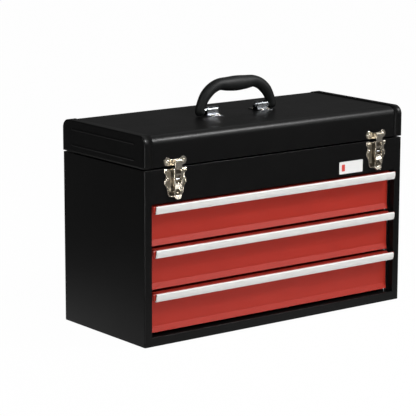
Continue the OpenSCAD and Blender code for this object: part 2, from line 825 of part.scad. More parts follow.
module handle_bracket(side) color(chrome) difference() {
  along_x(side > 0 ? bracket_in : -bracket_out, side > 0 ? bracket_out : -bracket_in) {
    difference() {
      union() {
        translate([0, pivot_z]) circle(bracket_bore + strap_t);
        translate([-bracket_bore - strap_t, lid_top]) square([2 * (bracket_bore + strap_t), pivot_z - lid_top]);
      }
      translate([0, pivot_z]) circle(bracket_bore);
      translate([-bracket_bore, lid_top - over]) square([2 * bracket_bore, pivot_z - lid_top + over]);
    }
    for (s = [-1, 1]) translate([s * (bracket_bore + bracket_span) / 2 - (bracket_span - bracket_bore) / 2, lid_top])
      square([bracket_span - bracket_bore, strap_t]);
  }
  bracket_rivet_holes();
}

module handle_pins() color(chrome) for (s = [0, 1]) mirror([s, 0, 0]) {
  head_x = bracket_in - head_gap;
  rod_x(head_x - head_h / 2, rod_end, 0, pivot_z, rod_r);
  translate([head_x, 0, pivot_z]) rotate([0, -90, 0]) dome(head_r, head_h);
}

// Value on a smooth curve through four samples
function curve(a, b, c, d, t) =
  0.5 * (2 * b + (c - a) * t + (2 * a - 5 * b + 4 * c - d) * t * t + (3 * b - a - 3 * c + d) * t * t * t);

function mirrored(s) = [-s[0], s[1], s[2], s[3]];

grip_keys = concat([for (i = [len(grip_half) - 1:-1:1]) mirrored(grip_half[i])], grip_half);

function grip_key(i) = grip_keys[max(0, min(len(grip_keys) - 1, i))];

// Round underside of a foot: it turns about the pin, so its depth follows a circle round it
function foot_sections(side) = [
  for (a = foot_angles) [side * foot_x, -foot_r * sin(a), foot_r * pow(cos(a), foot_round), foot_r * cos(a)]
];

grip_sections = concat(
  reversed(foot_sections(-1)),
  [for (i = [0:len(grip_keys) - 2], k = [0:grip_steps - 1])
    curve(grip_key(i - 1), grip_key(i), grip_key(i + 1), grip_key(i + 2), k / grip_steps)],
  [grip_key(len(grip_keys) - 1)],
  foot_sections(1));

// Direction of the grip's centre line at section i; it ends upright in the feet
function grip_way(i) =
  i == 0 ? [0, 1] :
  i == len(grip_sections) - 1 ? [0, -1] :
  unit([grip_sections[i + 1][0] - grip_sections[i - 1][0], grip_sections[i + 1][1] - grip_sections[i - 1][1]]);

module grip_loft() {
  rings = len(grip_sections);
  points = [
    for (i = [0:rings - 1], k = [0:grip_sides - 1])
      let (
        s = grip_sections[i],
        w = grip_way(i),
        a = 360 * k / grip_sides,
        n = s[2] * cos(a)
      )
      [s[0] - w[1] * n, s[3] * sin(a), s[1] + w[0] * n]
  ];
  sides = [
    for (i = [0:rings - 2], k = [0:grip_sides - 1])
      let (
        a = i * grip_sides + k,
        b = i * grip_sides + (k + 1) % grip_sides
      )
      each [[a, b + grip_sides, a + grip_sides], [a, b, b + grip_sides]]
  ];
  ends = [
    [for (k = [grip_sides - 1:-1:0]) k],
    [for (k = [0:grip_sides - 1]) (rings - 1) * grip_sides + k]
  ];
  polyhedron(points, concat(sides, ends));
}

module handle_grip() color(black_plastic) translate([0, 0, pivot_z]) difference() {
  grip_loft();
  for (s = [0, 1]) mirror([s, 0, 0]) rod_x(bracket_out, rod_end + seat_gap, 0, 0, rod_r + seat_gap);
}

// ---- Rivets and their holes ----

module latch_rivet_places() {
  for (x = [-latch_x, latch_x], s = [-1, 1]) to_front(x + s * base_rivet_x, front_y - latch_t, latch_z) children();
}

module keeper_rivet_places() {
  for (x = [-latch_x, latch_x], s = [-1, 1])
    to_front(x + s * keeper_rivet_x, -lid_y - latch_t, lid_z0 + keeper_rivet_z) children();
}

module hinge_rivet_places(side) {
  y = (side > 0 ? lid_y : back_y) + leaf_t;
  for (x = [-hinge_x, hinge_x], k = [-1:1])
    to_back(x + k * hinge_rivet_x, y, hinge_z + side * hinge_rivet_drop) children();
}

module bracket_rivet_places() {
  for (s = [-1, 1], x = [bracket_in + bracket_rivet_in, bracket_out - bracket_rivet_in], t = [-1, 1])
    translate([s * x, t * bracket_rivet_y, lid_top + strap_t]) children();
}

module rivet_hole() cylinder(h = hole_reach, r = rivet_shank + seat_gap, center = true);

module latch_rivet_holes() latch_rivet_places() rivet_hole();

module keeper_rivet_holes() keeper_rivet_places() rivet_hole();

module hinge_rivet_holes(side) hinge_rivet_places(side) rivet_hole();

module bracket_rivet_holes() bracket_rivet_places() rivet_hole();

module cabinet_rivets() color(nickel) {
  latch_rivet_places() rivet(latch_t + sheet);
  hinge_rivet_places(-1) rivet(leaf_t + sheet);
}

module lid_rivets() color(nickel) {
  keeper_rivet_places() rivet(latch_t + sheet);
  hinge_rivet_places(1) rivet(leaf_t + sheet);
  bracket_rivet_places() rivet(strap_t + sheet);
}

// ---- Nodes ----

body_shell();
back_panel();
base_pan();
compartment_floor();
left_carrier();
right_carrier();
mirror([1, 0, 0]) outer_rail(1);  // drawer_1_outer_rail_left
outer_rail(1);  // drawer_1_outer_rail_right
mirror([1, 0, 0]) outer_rail(2);  // drawer_2_outer_rail_left
outer_rail(2);  // drawer_2_outer_rail_right
mirror([1, 0, 0]) outer_rail(3);  // drawer_3_outer_rail_left
outer_rail(3);  // drawer_3_outer_rail_right
hinge_body_leaf(-hinge_x);  // left_hinge_body_leaf
hinge_body_leaf(hinge_x);  // right_hinge_body_leaf
hinge_pins();
latch_base(-latch_x);  // left_latch_base
latch_base(latch_x);  // right_latch_base
latch_pins();
cabinet_rivets();
lid_shell();
left_end_cap();
right_end_cap();
keeper(-latch_x);  // left_keeper
keeper(latch_x);  // right_keeper
handle_bracket(-1);  // left_handle_bracket
handle_bracket(1);  // right_handle_bracket
hinge_lid_leaf(-hinge_x);  // left_hinge_lid_leaf
hinge_lid_leaf(hinge_x);  // right_hinge_lid_leaf
lid_rivets();
handle_grip();
handle_pins();
latch_lever(-latch_x);  // left_latch_lever
latch_lever(latch_x);  // right_latch_lever
latch_bail(-latch_x);  // left_latch_bail
latch_bail(latch_x);  // right_latch_bail
tray(1);  // drawer_1_tray
drawer_front(1);  // drawer_1_front
pull(1);  // drawer_1_pull
mirror([1, 0, 0]) inner_rail(1);  // drawer_1_inner_rail_left
inner_rail(1);  // drawer_1_inner_rail_right
mirror([1, 0, 0]) cage(1);  // drawer_1_cage_left
cage(1);  // drawer_1_cage_right
tray(2);  // drawer_2_tray
drawer_front(2);  // drawer_2_front
pull(2);  // drawer_2_pull
mirror([1, 0, 0]) inner_rail(2);  // drawer_2_inner_rail_left
inner_rail(2);  // drawer_2_inner_rail_right
mirror([1, 0, 0]) cage(2);  // drawer_2_cage_left
cage(2);  // drawer_2_cage_right
tray(3);  // drawer_3_tray
drawer_front(3);  // drawer_3_front
pull(3);  // drawer_3_pull
mirror([1, 0, 0]) inner_rail(3);  // drawer_3_inner_rail_left
inner_rail(3);  // drawer_3_inner_rail_right
mirror([1, 0, 0]) cage(3);  // drawer_3_cage_left
cage(3);  // drawer_3_cage_right
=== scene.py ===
"""Looks of a portable tool box with three drawers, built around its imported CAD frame.

Every length is in millimetres unless its name ends in _m. +X is to the right, -Y to the front, +Z up.
"""

import json
import logging
import math
from dataclasses import dataclass, field
from enum import Enum
from typing import Sequence

import bmesh
import bpy
import numpy as np
from mathutils import Matrix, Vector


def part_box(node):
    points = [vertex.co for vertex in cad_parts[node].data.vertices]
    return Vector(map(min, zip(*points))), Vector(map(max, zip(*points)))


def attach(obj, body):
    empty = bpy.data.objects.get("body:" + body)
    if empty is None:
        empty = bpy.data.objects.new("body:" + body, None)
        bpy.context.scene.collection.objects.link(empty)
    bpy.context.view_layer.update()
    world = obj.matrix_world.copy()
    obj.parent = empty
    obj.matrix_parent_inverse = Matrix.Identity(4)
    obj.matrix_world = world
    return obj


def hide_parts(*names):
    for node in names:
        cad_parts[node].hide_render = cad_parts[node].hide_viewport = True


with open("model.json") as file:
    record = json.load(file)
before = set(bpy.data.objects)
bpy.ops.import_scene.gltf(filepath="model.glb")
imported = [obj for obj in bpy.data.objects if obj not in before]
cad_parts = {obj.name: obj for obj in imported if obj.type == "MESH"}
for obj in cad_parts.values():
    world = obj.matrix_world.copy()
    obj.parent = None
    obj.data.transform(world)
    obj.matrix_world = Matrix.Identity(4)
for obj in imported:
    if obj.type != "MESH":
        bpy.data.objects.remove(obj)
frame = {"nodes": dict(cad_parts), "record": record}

MM = 0.001
LOG = logging.getLogger("tool_box")
Array = np.ndarray
Material = bpy.types.Material
Object = bpy.types.Object
Shape = tuple[Array, list]
Pair = tuple[float, float]
Triple = tuple[float, float, float]
Outline = tuple[Pair, ...]

EDGE_ANGLE = 32.0  # degrees; edges sharper than this are rounded and shaded crisp
CAD_MERGE_MM = 0.002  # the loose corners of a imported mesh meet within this
MERGE_MM = 0.001  # doubled points of a new piece meet within this
FLAT_DEGREES = 0.4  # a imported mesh's faces that turn less than this are one face
NEAR = 0.1  # millimetres; a point this close to a face counts as on it
WIRE_SIDES = 12  # points round a pressed bead or a rib

PATCH_NOISE = {"Detail": 3.0, "Roughness": 0.55}
GRAIN_NOISE = {"Detail": 2.0, "Roughness": 0.5}
BOTH_NOISES = {"From Min": 0.1, "From Max": 0.45}  # where the product of the two noises lies
RELIEF_STRENGTH = 0.6


class Side(Enum):
    """A side of the box, with the sign of its x."""

    LEFT = -1
    RIGHT = 1

    @property
    def word(self) -> str:
        """The side's name as the nodes' names start with it."""
        return self.name.lower()


# ---- Colours and nodes ----


def linear(hex_colour: str) -> tuple[float, float, float, float]:
    """Turns an sRGB hex colour into linear RGBA.

    Args:
        hex_colour: six hex digits.

    Returns:
        Linear red, green, blue and an alpha of 1.
    """
    parts = [int(hex_colour[i:i + 2], 16) / 255 for i in (0, 2, 4)]
    red, green, blue = (c / 12.92 if c <= 0.04045 else ((c + 0.055) / 1.055) ** 2.4 for c in parts)
    return red, green, blue, 1.0


WHITE = linear("ffffff")


def add_node(tree: bpy.types.NodeTree, kind: str, links: dict | None = None, **settings) -> bpy.types.Node:
    """Adds one node, sets what it is given and links its inputs.

    Args:
        tree: the node tree that takes the node.
        kind: the node's type name, without its ShaderNode start.
        links: input name or number to a value, or to an output socket that feeds it.
        settings: properties of the node itself.

    Returns:
        The new node.
    """
    node = tree.nodes.new("ShaderNode" + kind)
    for name, value in settings.items():
        setattr(node, name, value)
    for key, value in (links or {}).items():
        if isinstance(value, bpy.types.NodeSocket):
            tree.links.new(value, node.inputs[key])
        else:
            node.inputs[key].default_value = value
    return node


def cleared(block: Material | bpy.types.World) -> bpy.types.NodeTree:
    """Turns on the nodes of a material or a world and empties them.

    Args:
        block: the material or the world.

    Returns:
        Its empty node tree.
    """
    block.use_nodes = True
    block.node_tree.nodes.clear()
    return block.node_tree


def ray_kinds(tree: bpy.types.NodeTree) -> tuple[bpy.types.NodeSocket, bpy.types.NodeSocket]:
    """Adds what tells rays apart.

    Args:
        tree: the node tree that takes the nodes.

    Returns:
        A socket that is 1 for what mirrors show, and one that is 1 to the camera and through glass.
    """
    path = add_node(tree, "LightPath")
    seen = add_node(tree, "Math", {
        0: path.outputs["Is Camera Ray"], 1: path.outputs["Is Transmission Ray"]}, operation="MAXIMUM")
    return path.outputs["Is Glossy Ray"], seen.outputs["Value"]


class Spread(Enum):
    """How a pattern's grain lies on the object: even, or drawn out to fifty times its width along an axis."""

    EVEN = (1.0, 1.0, 1.0)
    ALONG_X = (0.02, 1.0, 1.0)
    ALONG_Y = (1.0, 0.02, 1.0)


@dataclass(frozen=True)
class Finish:
    """One surface finish: a base colour that drifts a little, and a roughness and relief with their own grain."""

    name: str
    colour: str  # sRGB hex of the surface
    drift: str  # sRGB hex that the colour drifts towards in its patches
    metallic: float  # 1 for bare or plated metal, 0 for coats and plastics
    rough: Pair  # lowest and highest roughness
    patch_mm: float  # size of the patches in which colour and roughness drift
    grain_mm: float  # size of the fine relief
    relief_mm: float  # height of the fine relief
    specular: float = 0.5  # specular level; metals keep the default
    spread: Spread = Spread.EVEN  # whether the grain is even or drawn along an axis

    def build(self) -> Material:
        """Makes the material: two noises on object coordinates drive colour, roughness and bump.

        Returns:
            The material.
        """
        material = bpy.data.materials.new(self.name)
        tree = cleared(material)
        place = add_node(tree, "TexCoord")
        scale = add_node(tree, "Mapping", {"Vector": place.outputs["Object"], "Scale": self.spread.value})
        patches = add_node(tree, "TexNoise", {
            "Vector": place.outputs["Object"], "Scale": 1 / (self.patch_mm * MM), **PATCH_NOISE})
        grain = add_node(tree, "TexNoise", {
            "Vector": scale.outputs["Vector"], "Scale": 1 / (self.grain_mm * MM), **GRAIN_NOISE})
        tone = add_node(tree, "Mix", {
            0: patches.outputs["Fac"], 6: linear(self.colour), 7: linear(self.drift)}, data_type="RGBA")
        both = add_node(tree, "Math", {0: patches.outputs["Fac"], 1: grain.outputs["Fac"]}, operation="MULTIPLY")
        rough = add_node(tree, "MapRange", {
            "Value": both.outputs["Value"], "To Min": self.rough[0], "To Max": self.rough[1], **BOTH_NOISES})
        bump = add_node(tree, "Bump", {
            "Height": grain.outputs["Fac"], "Strength": RELIEF_STRENGTH, "Distance": self.relief_mm * MM})
        surface = add_node(tree, "BsdfPrincipled", {
            "Base Color": tone.outputs[2], "Metallic": self.metallic, "Roughness": rough.outputs["Result"],
            "Normal": bump.outputs["Normal"]})
        if not self.metallic:
            surface.inputs["Specular IOR Level"].default_value = self.specular
        add_node(tree, "OutputMaterial", {"Surface": surface.outputs["BSDF"]})
        return material


# Black powder coat on steel sheet, sprayed and baked: a deep black that hardly drifts. The peel of such a coat is
# one to two millimetres across. Its low specular keeps broad faces dark, and only the bends catch the lamps.
BLACK_COAT = Finish("black_powder_coat", "090909", "0c0c0c", 0.0, (0.33, 0.41), 60, 1.6, 0.03, specular=0.1)
# The same coat in brick red, a little smoother, so that the flared edges glow where a low lamp meets them.
RED_COAT = Finish("red_powder_coat", "9e2c21", "95271d", 0.0, (0.3, 0.38), 70, 1.6, 0.03, specular=0.18)
# Extruded aluminium, etched and anodised: pale and matt like paper, with the die's lines along the strip. They are
# about a tenth of a millimetre wide and are drawn eight times as wide, so that they show.
PULL_METAL = Finish("satin_anodised_aluminium", "c9c9c7", "c2c2c0", 0.15, (0.56, 0.66), 50, 0.8, 0.01,
                    spread=Spread.ALONG_X)
# Stamped steel with bright nickel plate: warm and creamy, its highlights softened by the press's ripple, which is
# about a millimetre wide.
NICKEL = Finish("bright_nickel_plate", "d4ccbd", "c2baab", 1.0, (0.2, 0.3), 9, 1.2, 0.012)
# The same plate on the wings of the latch base, painted tan and duller as shade, since they lean away from the lamps.
SHADED_WING_NICKEL = Finish("nickel_plate_on_the_wings", "a89f8e", "9a917f", 1.0, (0.28, 0.4), 9, 1.2, 0.012)
# The plate in the base's recess, painted a dark brown grey as the shade behind the lever and the link.
SHADED_RECESS_NICKEL = Finish("nickel_plate_in_the_base_recess", "6a6358", "5c564c", 1.0, (0.25, 0.36), 9, 1.2, 0.012)
# Polished chrome over steel: a dark mirror that shows the lamps as sharp white bands on its bends, bent a little by
# the slow waves that polishing leaves, some three millimetres long.
CHROME = Finish("polished_chrome_plate", "8a8c8e", "76787b", 1.0, (0.03, 0.06), 6, 3.0, 0.03)
# Rolled slide rails with clear zinc plate: a cool grey, streaked along the way they slide. The rolling lines are
# about a quarter of a millimetre wide and are drawn at 1.4 mm, so that they show.
ZINC = Finish("zinc_plate", "b4b7ba", "a7abb0", 1.0, (0.3, 0.42), 14, 1.4, 0.01, spread=Spread.ALONG_Y)
# Ball cages punched from bright steel strip: lighter and smoother than the rails round them, with a faint ripple
# about as wide as the strip is thick.
CAGE_STEEL = Finish("bright_cage_steel", "bdbfc2", "b0b3b6", 1.0, (0.2, 0.3), 12, 1.0, 0.01)
# Injection-moulded ABS with a spark-eroded grain: a soft wide sheen along the grip. The grain is about 0.15 mm and
# is drawn at 0.7 mm, so that it shows.
GRIP_PLASTIC = Finish("moulded_black_abs", "0f1010", "141515", 0.0, (0.5, 0.6), 30, 0.7, 0.02, specular=0.15)
# Ink printed on vinyl film: a flat clear red. The film's own unevenness is under a tenth of a millimetre and is
# drawn at 0.8 mm, as is the bare film's.
LABEL_RED = Finish("red_label_ink", "c23a30", "bb352c", 0.0, (0.36, 0.42), 12, 0.8, 0.004)
# Calendered vinyl film: an even white, the lightest thing on the box, kept just under the white of the ground.
LABEL_FILM = Finish("white_label_film", "d0d0cf", "cacac9", 0.0, (0.36, 0.42), 12, 0.8, 0.004)


# ---- Meshes ----


def linked(name: str, data: bpy.types.ID) -> Object:
    """Makes an object and links it to the scene.

    Args:
        name: the object's name.
        data: its mesh, lamp or camera.

    Returns:
        The object.
    """
    item = bpy.data.objects.new(name, data)
    bpy.context.scene.collection.objects.link(item)
    return item


def new_piece(name: str, points: Array, faces: Sequence, material: Material) -> Object:
    """Makes a mesh object from points in millimetres.

    Args:
        name: the piece's name.
        points: one row of x, y, z for each vertex.
        faces: lists of vertex numbers, or an array of them.
        material: what the whole piece is finished with.

    Returns:
        The new object, linked to the scene.
    """
    mesh = bpy.data.meshes.new(name)
    mesh.from_pydata((np.asarray(points, float) * MM).tolist(), [], [list(map(int, f)) for f in faces])
    mesh.validate()
    mesh.materials.append(material)
    return linked(name, mesh)


def soften(piece: Object, width_mm: float, segments: int = 2, angle: float = EDGE_ANGLE) -> None:
    """Shades a piece smooth and rounds its edges.

    Args:
        piece: the piece.
        width_mm: width of the rounded edges, 0 for none.
        segments: steps in each.
        angle: edges sharper than this many degrees are rounded and stay crisp.
    """
    mesh = piece.data
    mesh.polygons.foreach_set("use_smooth", [True] * len(mesh.polygons))
    mesh.set_sharp_from_angle(angle=math.radians(angle))
    if width_mm > 0:
        bevel = piece.modifiers.new("edge_round", "BEVEL")
        bevel.width = width_mm * MM
        bevel.segments = segments
        bevel.limit_method = "ANGLE"
        bevel.angle_limit = math.radians(angle)
        bevel.use_clamp_overlap = False
        bevel.harden_normals = True


def merged_copy(node: str, material: Material, width_mm: float) -> None:
    """Copies a CAD node, joins its loose triangles, rounds its edges and lets the copy stand for the node.

    Args:
        node: the CAD node that the copy stands for.
        material: what the copy is finished with.
        width_mm: width of the rounded edges.
    """
    mesh = frame["nodes"][node].data.copy()
    mesh.name = node + "_dressed"
    work = bmesh.new()
    work.from_mesh(mesh)
    bmesh.ops.remove_doubles(work, verts=work.verts, dist=CAD_MERGE_MM * MM)
    bmesh.ops.dissolve_limit(work, angle_limit=math.radians(FLAT_DEGREES), verts=work.verts, edges=work.edges)
    work.to_mesh(mesh)
    work.free()
    mesh.materials.clear()
    mesh.materials.append(material)
    piece = linked(node + "_dressed", mesh)
    soften(piece, width_mm)
    settle(piece, node, True)


def settle(piece: Object, node: str, stands_in: bool) -> None:
    """Gives a piece the body of a CAD node.

    Args:
        piece: the piece.
        node: the CAD node.
        stands_in: whether the piece stands in for the node, which is then hidden.
    """
    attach(piece, BODY_OF[node])
    if stands_in:
        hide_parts(node)
    LOG.info("%s rides on %s", piece.name, BODY_OF[node])


def quads(number: Array) -> list[list[int]]:
    """Faces of a grid whose vertices have the given numbers: each joins four neighbours."""
    corners = [number[:-1, :-1], number[1:, :-1], number[1:, 1:], number[:-1, 1:]]
    return np.stack(corners, axis=-1).reshape(-1, 4).tolist()


def turn_outwards(mesh: bpy.types.Mesh) -> None:
    """Merges a new mesh's double points and turns its faces outwards.

    Args:
        mesh: the mesh.
    """
    work = bmesh.new()
    work.from_mesh(mesh)
    bmesh.ops.remove_doubles(work, verts=work.verts, dist=MERGE_MM * MM)
    bmesh.ops.dissolve_degenerate(work, edges=work.edges, dist=MERGE_MM * MM)
    bmesh.ops.recalc_face_normals(work, faces=work.faces)
    work.to_mesh(mesh)
    work.free()


def add_piece(name: str, shape: Shape, material: Material, node: str, width_mm: float = 0.0, segments: int = 2,
              angle: float = EDGE_ANGLE, wall: Pair | None = None, outwards: bool = True,
              stands_in: bool = True) -> None:
    """Makes a piece, gives it a wall and rounded edges, and settles it with a CAD node.

    Args:
        name: the piece's name.
        shape: its points and faces.
        material: what the whole piece is finished with.
        node: the CAD node whose body it takes.
        width_mm: width of its rounded edges.
        segments: steps in each.
        angle: edges sharper than this many degrees are rounded.
        wall: thickness that an open surface gets, and where it lies: -1 behind the faces, 0 on both sides.
        outwards: whether its double points are merged and its faces turned outwards.
        stands_in: whether it hides the node.
    """
    piece = new_piece(name, *shape, material)
    if outwards:
        turn_outwards(piece.data)
    if wall:
        solid = piece.modifiers.new("wall", "SOLIDIFY")
        solid.thickness, solid.offset = wall[0] * MM, wall[1]
        solid.use_even_offset = solid.use_quality_normals = True
    soften(piece, width_mm, segments, angle)
    settle(piece, node, stands_in)


BODY_OF: dict[str, str] = {
    node: body for body, nodes in frame["record"]["behaviour"]["bodies"].items() for node in nodes}
SLOT_OF: dict[str, str] = {part["node"]: part["material_slot"] for part in frame["record"]["subparts"]}
FINISH_OF: dict[str, Finish] = {
    "black_coat": BLACK_COAT, "red_coat": RED_COAT, "pull_aluminium": PULL_METAL, "zinc_steel": ZINC,
    "cage_steel": CAGE_STEEL, "nickel_steel": NICKEL, "chrome_steel": CHROME, "grip_plastic": GRIP_PLASTIC}


# ---- Shapes ----


def unit(way: Array) -> Array:
    """Directions of length 1, each over its own length."""
    return way / np.linalg.norm(way, axis=-1, keepdims=True)


def rounded(path: Array, radii: Sequence[float], steps: int = 6) -> Array:
    """Rounds the inner corners of an open path: each gives way to the arc that touches both its sides.

    Args:
        path: corners, one row each.
        radii: a radius for each inner corner.
        steps: spans in each arc.

    Returns:
        The points of the rounded path.
    """
    parts = [path[:1]]
    for before, corner, after, radius in zip(path[:-2], path[1:-1], path[2:], radii):
        u, v = unit(before - corner), unit(after - corner)
        half = np.arccos(np.clip(u @ v, -1, 1)) / 2
        centre = corner + unit(u + v) * radius / np.sin(half)
        start, stop = corner + u * radius / np.tan(half) - centre, corner + v * radius / np.tan(half) - centre
        first = np.arctan2(start[1], start[0])
        sweep = (np.arctan2(stop[1], stop[0]) - first + np.pi) % (2 * np.pi) - np.pi
        turn = first + sweep * np.linspace(0, 1, steps + 1)
        parts.append(centre + radius * np.stack([np.cos(turn), np.sin(turn)], axis=1))
    return np.concatenate(parts + [path[-1:]])


def rounded_loop(corners: Array, radii: Sequence[float], steps: int = 4) -> Array:
    """Rounds every corner of a closed outline, as a path that starts and ends halfway along a side."""
    middle = (corners[-1] + corners[0])[None] / 2
    return rounded(np.concatenate([middle, corners, middle]), radii, steps)[:-1]


def moved_aside(path: Array, distance: float, closed: bool = False) -> Array:
    """Moves a path to its right: each point goes along the mean normal of its two sides, far enough for both.

    Args:
        path: corners, one row each.
        distance: how far.
        closed: whether the path is a loop.

    Returns:
        The moved points.
    """
    ahead = np.roll(path, -1, axis=0) - path
    if not closed:
        ahead[-1] = ahead[-2]
    ahead = unit(ahead)
    behind = np.roll(ahead, 1, axis=0)
    if not closed:
        behind[0] = ahead[0]
    mean = np.stack([ahead[:, 1] + behind[:, 1], -ahead[:, 0] - behind[:, 0]], axis=1)
    return path + mean * (distance / (1 + (ahead * behind).sum(1, keepdims=True)))


def walked(path: Array) -> Array:
    """Length along a path up to each of its points."""
    return np.concatenate([[0], np.cumsum(np.linalg.norm(np.diff(path, axis=0), axis=1))])


def picked(path: Array, length: Array, places: Array) -> Array:
    """What a path, straight between its points, has at the given lengths along it."""
    return np.stack([np.interp(places, length, column) for column in path.T], axis=1)


def resampled(path: Array, step: float) -> Array:
    """Adds points along an open path so that none is further than a step from the next; corners stay.

    Args:
        path: points, one row each.
        step: the longest span.

    Returns:
        The old and new points in order.
    """
    length = walked(path)
    extra = np.arange(step, length[-1], step)
    return picked(path, length, np.unique(np.round(np.concatenate([length, extra]), 4)))


def corner_width(half: float | Array, radius: float, distance: Array) -> Array:
    """Half width of a shape with round corners at a distance d from its end: half - r + sqrt(r^2 - (r - d)^2)."""
    left = np.clip(radius - distance, 0, radius)
    return half - radius + np.sqrt(np.maximum(radius ** 2 - left ** 2, 0))


def opening(z: Array, low: float, high: float, half: float, radius: float) -> Array:
    """Half width at each z of an opening with round corners between two heights, and 0 past them."""
    return np.where((z > low) & (z < high), corner_width(half, radius, np.minimum(z - low, high - z)), 0)


def lofted(rings: Array, ends: bool = True) -> Shape:
    """Joins equal rings of points: face (i, k) takes points k and k + 1 of rings i and i + 1.

    Args:
        rings: closed rings by points by x, y, z.
        ends: whether the first and last ring are closed with a face.

    Returns:
        The points and the faces.
    """
    count, sides = rings.shape[:2]
    left = np.arange(count * sides).reshape(count, sides)
    right = np.roll(left, -1, axis=1)
    faces = np.stack([left[:-1], right[:-1], right[1:], left[1:]], axis=-1).reshape(-1, 4).tolist()
    if ends:
        faces += [left[0, ::-1].tolist(), left[-1].tolist()]
    return rings.reshape(-1, 3), faces


def slab(loop: Array, places: Sequence[float], axis: int) -> Shape:
    """A flat plate: a closed outline lofted from one place to the other along an axis."""
    return lofted(np.stack([np.insert(loop, axis, place, axis=1) for place in places]))


def sheet_along_x(path: Array, thickness: float, half: float | Array, centre: float = 0.0) -> Shape:
    """A bent sheet seen on edge as a path of y, z, carried along X from -half to +half of each point.

    Args:
        path: the sheet's near side, with its metal to the right.
        thickness: of the sheet.
        half: half width, or one for each point of the path.
        centre: x of the sheet's middle.

    Returns:
        The points and the faces; the ends are strips between the two sides of the metal.
    """
    ring = np.concatenate([path, moved_aside(path, thickness)[::-1]])
    halves = np.broadcast_to(half, len(path))
    halves = np.concatenate([halves, halves[::-1]])
    rings = np.stack([np.column_stack([centre + way * halves, ring]) for way in (-1, 1)])
    points, faces = lofted(rings, ends=False)
    near = np.arange(len(path) - 1)
    far = 2 * len(path) - 1 - near
    for start in (0, 2 * len(path)):
        strip = np.stack([near, near + 1, far - 1, far], axis=1) + start
        faces += strip.tolist()
    return points, faces


def tube(path: Array, radius: float, squash: float = 1.0, axis: Triple = (0.0, 1.0, 0.0),
         closed: bool = True) -> Array:
    """Rings of a round wire: each ring is a circle across the path's direction at its point.

    Args:
        path: x, y, z points in a plane.
        radius: of the wire.
        squash: the wire's depth across the plane as a share of its radius.
        axis: normal of the plane.
        closed: whether the path is a loop.

    Returns:
        Rings by sides by x, y, z; a loop's first ring is repeated at the end.
    """
    ahead = np.roll(path, -1, axis=0) - np.roll(path, 1, axis=0) if closed else np.gradient(path, axis=0)
    across = unit(np.cross(unit(ahead), axis))
    turn = np.linspace(0, 2 * np.pi, WIRE_SIDES, endpoint=False)[None, :, None]
    rings = path[:, None] + radius * (np.cos(turn) * across[:, None] + squash * np.sin(turn) * np.array(axis))
    return np.concatenate([rings, rings[:1]]) if closed else rings


# ---- Studio ----


@dataclass
class Lamp:
    """A soft box."""

    name: str
    place_m: Triple  # where it hangs
    aim_m: Triple  # the point it faces
    size_m: Pair  # width and height
    watts: float
    mirrored: bool = True  # whether glossy surfaces show it
    lights: bool = True  # whether it lights matt surfaces; a lamp that does not is a gleam only

    def build(self) -> None:
        """Hangs the lamp and turns it to its aim."""
        data = bpy.data.lights.new(self.name, "AREA")
        data.shape = "RECTANGLE"
        data.size, data.size_y = self.size_m
        data.energy = self.watts
        lamp = linked(self.name, data)
        lamp.visible_glossy, lamp.visible_diffuse = self.mirrored, self.lights
        place, aim = np.array(self.place_m), np.array(self.aim_m)
        lamp.matrix_world = looking_along(place, aim - place, 0.0)


def looking_along(place: Array, way: Array, roll: float) -> Matrix:
    """World matrix of a camera or lamp at a place that looks along a direction.

    Args:
        place: position in metres.
        way: direction of view.
        roll: turn about the view, in degrees.

    Returns:
        A matrix whose -Z looks along the direction.
    """
    ahead = unit(way)
    right = unit(np.cross(ahead, (0.0, 0.0, 1.0)))
    up = np.cross(right, ahead)
    c, s = math.cos(math.radians(roll)), math.sin(math.radians(roll))
    matrix = np.eye(4)
    matrix[:3] = np.column_stack([c * right + s * up, c * up - s * right, -ahead, place])
    return Matrix(matrix.tolist())


